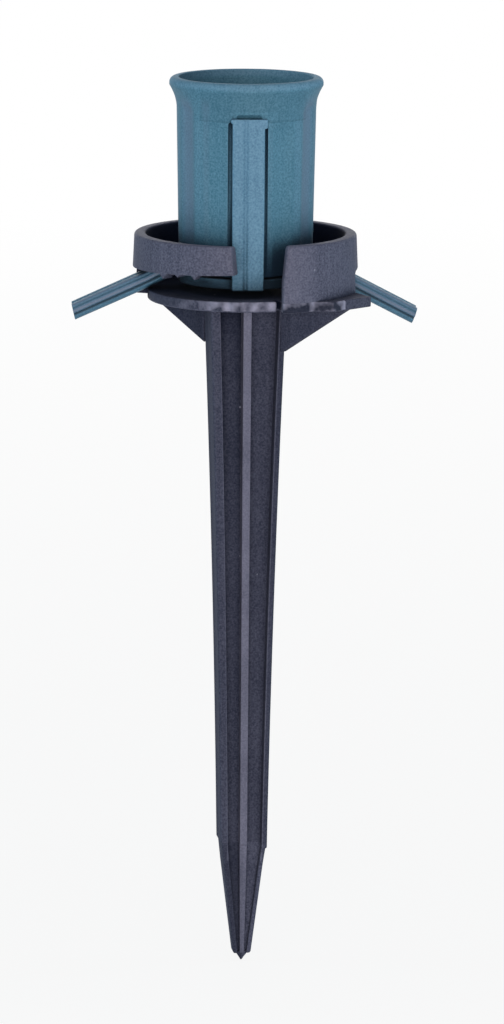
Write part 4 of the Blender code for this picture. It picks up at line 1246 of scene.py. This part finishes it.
def jacket_outline():
    """The flat cord's section: two lobes, the front one with two grooves."""
    valley = math.degrees(math.acos(LOBE_OFFSET / LOBE_RADIUS))
    front = []
    for angle in steps(valley, 360 - valley, JACKET_STEPS):
        radius = LOBE_RADIUS - sum(depth * hump(angle - place, half) for place, half, depth in GROOVES)
        turn = math.radians(angle)
        front.append((-LOBE_OFFSET + radius * math.cos(turn), radius * math.sin(turn)))
    return front + arc((LOBE_OFFSET, 0.0), LOBE_RADIUS, -180 + valley, 180 - valley, 32)[1:-1]


def disc_outline(radius, centre, up=0.0, sides=20):
    """A round section about a place in the cord's section."""
    return arc((centre, up), radius, 0, 360, sides)[:-1]


print("the cord's section has", len(jacket_outline()), "points")

# %% Jacket
BORE_RADIUS = 0.00075
# Where the painted shade lies in the grooves, and the painted highlight on the lands
GROOVE_SHADES = ((143.5, 12.0, 0.7), (195.6, 15.0, 1.0))        # place, half width and strength
LANDS = ((169.0, 24.0, 1.0), (118.0, 26.0, 0.8))
CORD_CUT = (-11.0, 7.0)                  # how far the left and the right end are from square, in degrees


def paint_bands(item):
    """Store on each point how far it is on a land or in a groove of the front lobe."""
    route = cord_route()
    bands = [
        (item.data.attributes.new(name, "FLOAT", "POINT"), rows)
        for name, rows in (("land", LANDS), ("groove", GROOVE_SHADES))]
    for index, vertex in enumerate(item.data.vertices):
        x, y, z = vertex.co
        here = Vector((x, z))
        ups = []
        for a, b in zip(route, route[1:]):
            along = b - a
            share = min(1.0, max(0.0, (here - a).dot(along) / along.length_squared))
            ups.append(((here - a - along * share).length, along.normalized().cross(here - a)))
        up = min(ups)[1]
        angle = math.degrees(math.atan2(up, y + LOBE_OFFSET)) % 360.0
        for band, rows in bands:
            band.data[index].value = max(hump(angle - place, half) * full for place, half, full in rows)


jacket = along_route("flat_cord", jacket_outline(), cut=CORD_CUT)
for side in (-LOBE_OFFSET, LOBE_OFFSET):
    combine(jacket, "DIFFERENCE", along_route("bore", disc_outline(BORE_RADIUS, side), extra=BORE_EXTRA))
paint_bands(jacket)
mount(jacket, "socket", "cord_jacket", cord_finish)

# %% [markdown]
# ## Metal inside
#
# Four pieces inside are metal: the threaded shell and the sprung leaf in brass, and the two bunches
# of copper wire. Stamped brass has rolling lines and a thin tarnish that gathers in the corners.
# Copper is drawn, so its lines run along the strand.

# %% Finishes: brass and copper
def stamped_metal(name, bright, tarnish, roughness, stretch):
    """Bright metal with fine lines and patches of tarnish."""
    finish, spot = new_finish(name, roughness, 1.0)
    lines = spot.noise(1.0, 3.0, stretch=stretch)
    patches = spot.noise(420.0, 4.0)
    stain = patches.rise(0.52, 4.0)
    rough = stirred(roughness + stain * 0.25, (lines, 0.12))
    dress(finish, (stain * 0.6).mix(bright, tarnish), rough, lines, 0.000006, 0.5)
    return finish


brass_finish = stamped_metal(
    "brass", rgb(206, 172, 104), rgb(150, 112, 62), 0.26, (500, 500, 9000))
copper_finish = stamped_metal(
    "copper", rgb(216, 146, 112), rgb(150, 84, 58), 0.3, (300, 9000, 9000))

# %% [markdown]
# ### Threaded shell
#
# The lamp screws into a thin brass shell with a rolled thread. A rolled thread is a wave that climbs
# one pitch in each turn, inside and outside alike, so the wall is again a function: its radius is a
# cosine of height less the climb at that bearing.

# %% Screw shell
SHELL_STEPS, SHELL_LEVELS = 96, 84
PRONG_WIDTH, PRONG_TIP_Z = 0.0010, 0.00705


def shell_profile(bearing):
    """Both faces of the shell's wall at a bearing."""
    middle = THREAD_OUTER_RADIUS - THREAD_DEPTH / 2
    outer = []
    for z in steps(SHELL_BOTTOM_Z, SHELL_TOP_Z, SHELL_LEVELS):
        phase = (z - SHELL_BOTTOM_Z) / THREAD_PITCH - bearing / 360.0
        outer.append((middle + THREAD_DEPTH / 2 * math.cos(math.tau * phase), z))
    return outer + [(radius - SHELL_WALL, z) for radius, z in outer[::-1]]


shell = turned("lamp_shell", shell_profile, SHELL_STEPS)
tab_top = SHELL_BOTTOM_Z + THREAD_PITCH
prong = (
    ("tab", PRONG_TAB_WIDTH, FLOOR_BOTTOM_Z + GAP, tab_top),
    ("point", PRONG_WIDTH, PRONG_TIP_Z, tab_top - GAP),
)
for name, width, bottom, top in prong:
    sides = [(PRONG_X[0] + side * SHELL_WALL / 2, LOBE_OFFSET + side * width / 2) for side in (-1, 1)]
    combine(shell, "UNION", block(name, (*sides[0], bottom), (*sides[1], top)))
mount(shell, "socket", "screw_shell", brass_finish)

# %% [markdown]
# ### Wires
#
# At the cord's cut ends the wires show as bunches of thin strands. One rod would look like a nail,
# so seven strands, one in the middle and six round it, fill the place of each rod.

# %% Wires
WIRE_RADIUS = 0.0006
STRAND_RADIUS = WIRE_RADIUS / 3
STRAND_SHARE, STRAND_SIDES = 0.97, 10    # a strand is a little thinner than its place


def strands(name, side):
    """Seven strands side by side, as one piece."""
    places = [(0.0, 0.0)] + arc((0.0, 0.0), 2 * STRAND_RADIUS, 0, 300, 5)
    shape = bmesh.new()
    for across, up in places:
        outline = disc_outline(STRAND_RADIUS * STRAND_SHARE, side + across, up, STRAND_SIDES)
        strand = along_route("strand", outline, extra=-GAP)
        shape.from_mesh(strand.data)
        bpy.data.objects.remove(strand)
    return solid_object(name, shape)


for name, node, side in (
        ("front_wire", "conductor_front", -LOBE_OFFSET), ("rear_wire", "conductor_rear", LOBE_OFFSET)):
    mount(strands(name, side), "socket", node, copper_finish)

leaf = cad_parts["centre_contact"]
leaf.data.materials.clear()
leaf.data.materials.append(brass_finish)
print("the contact leaf keeps its CAD shape")
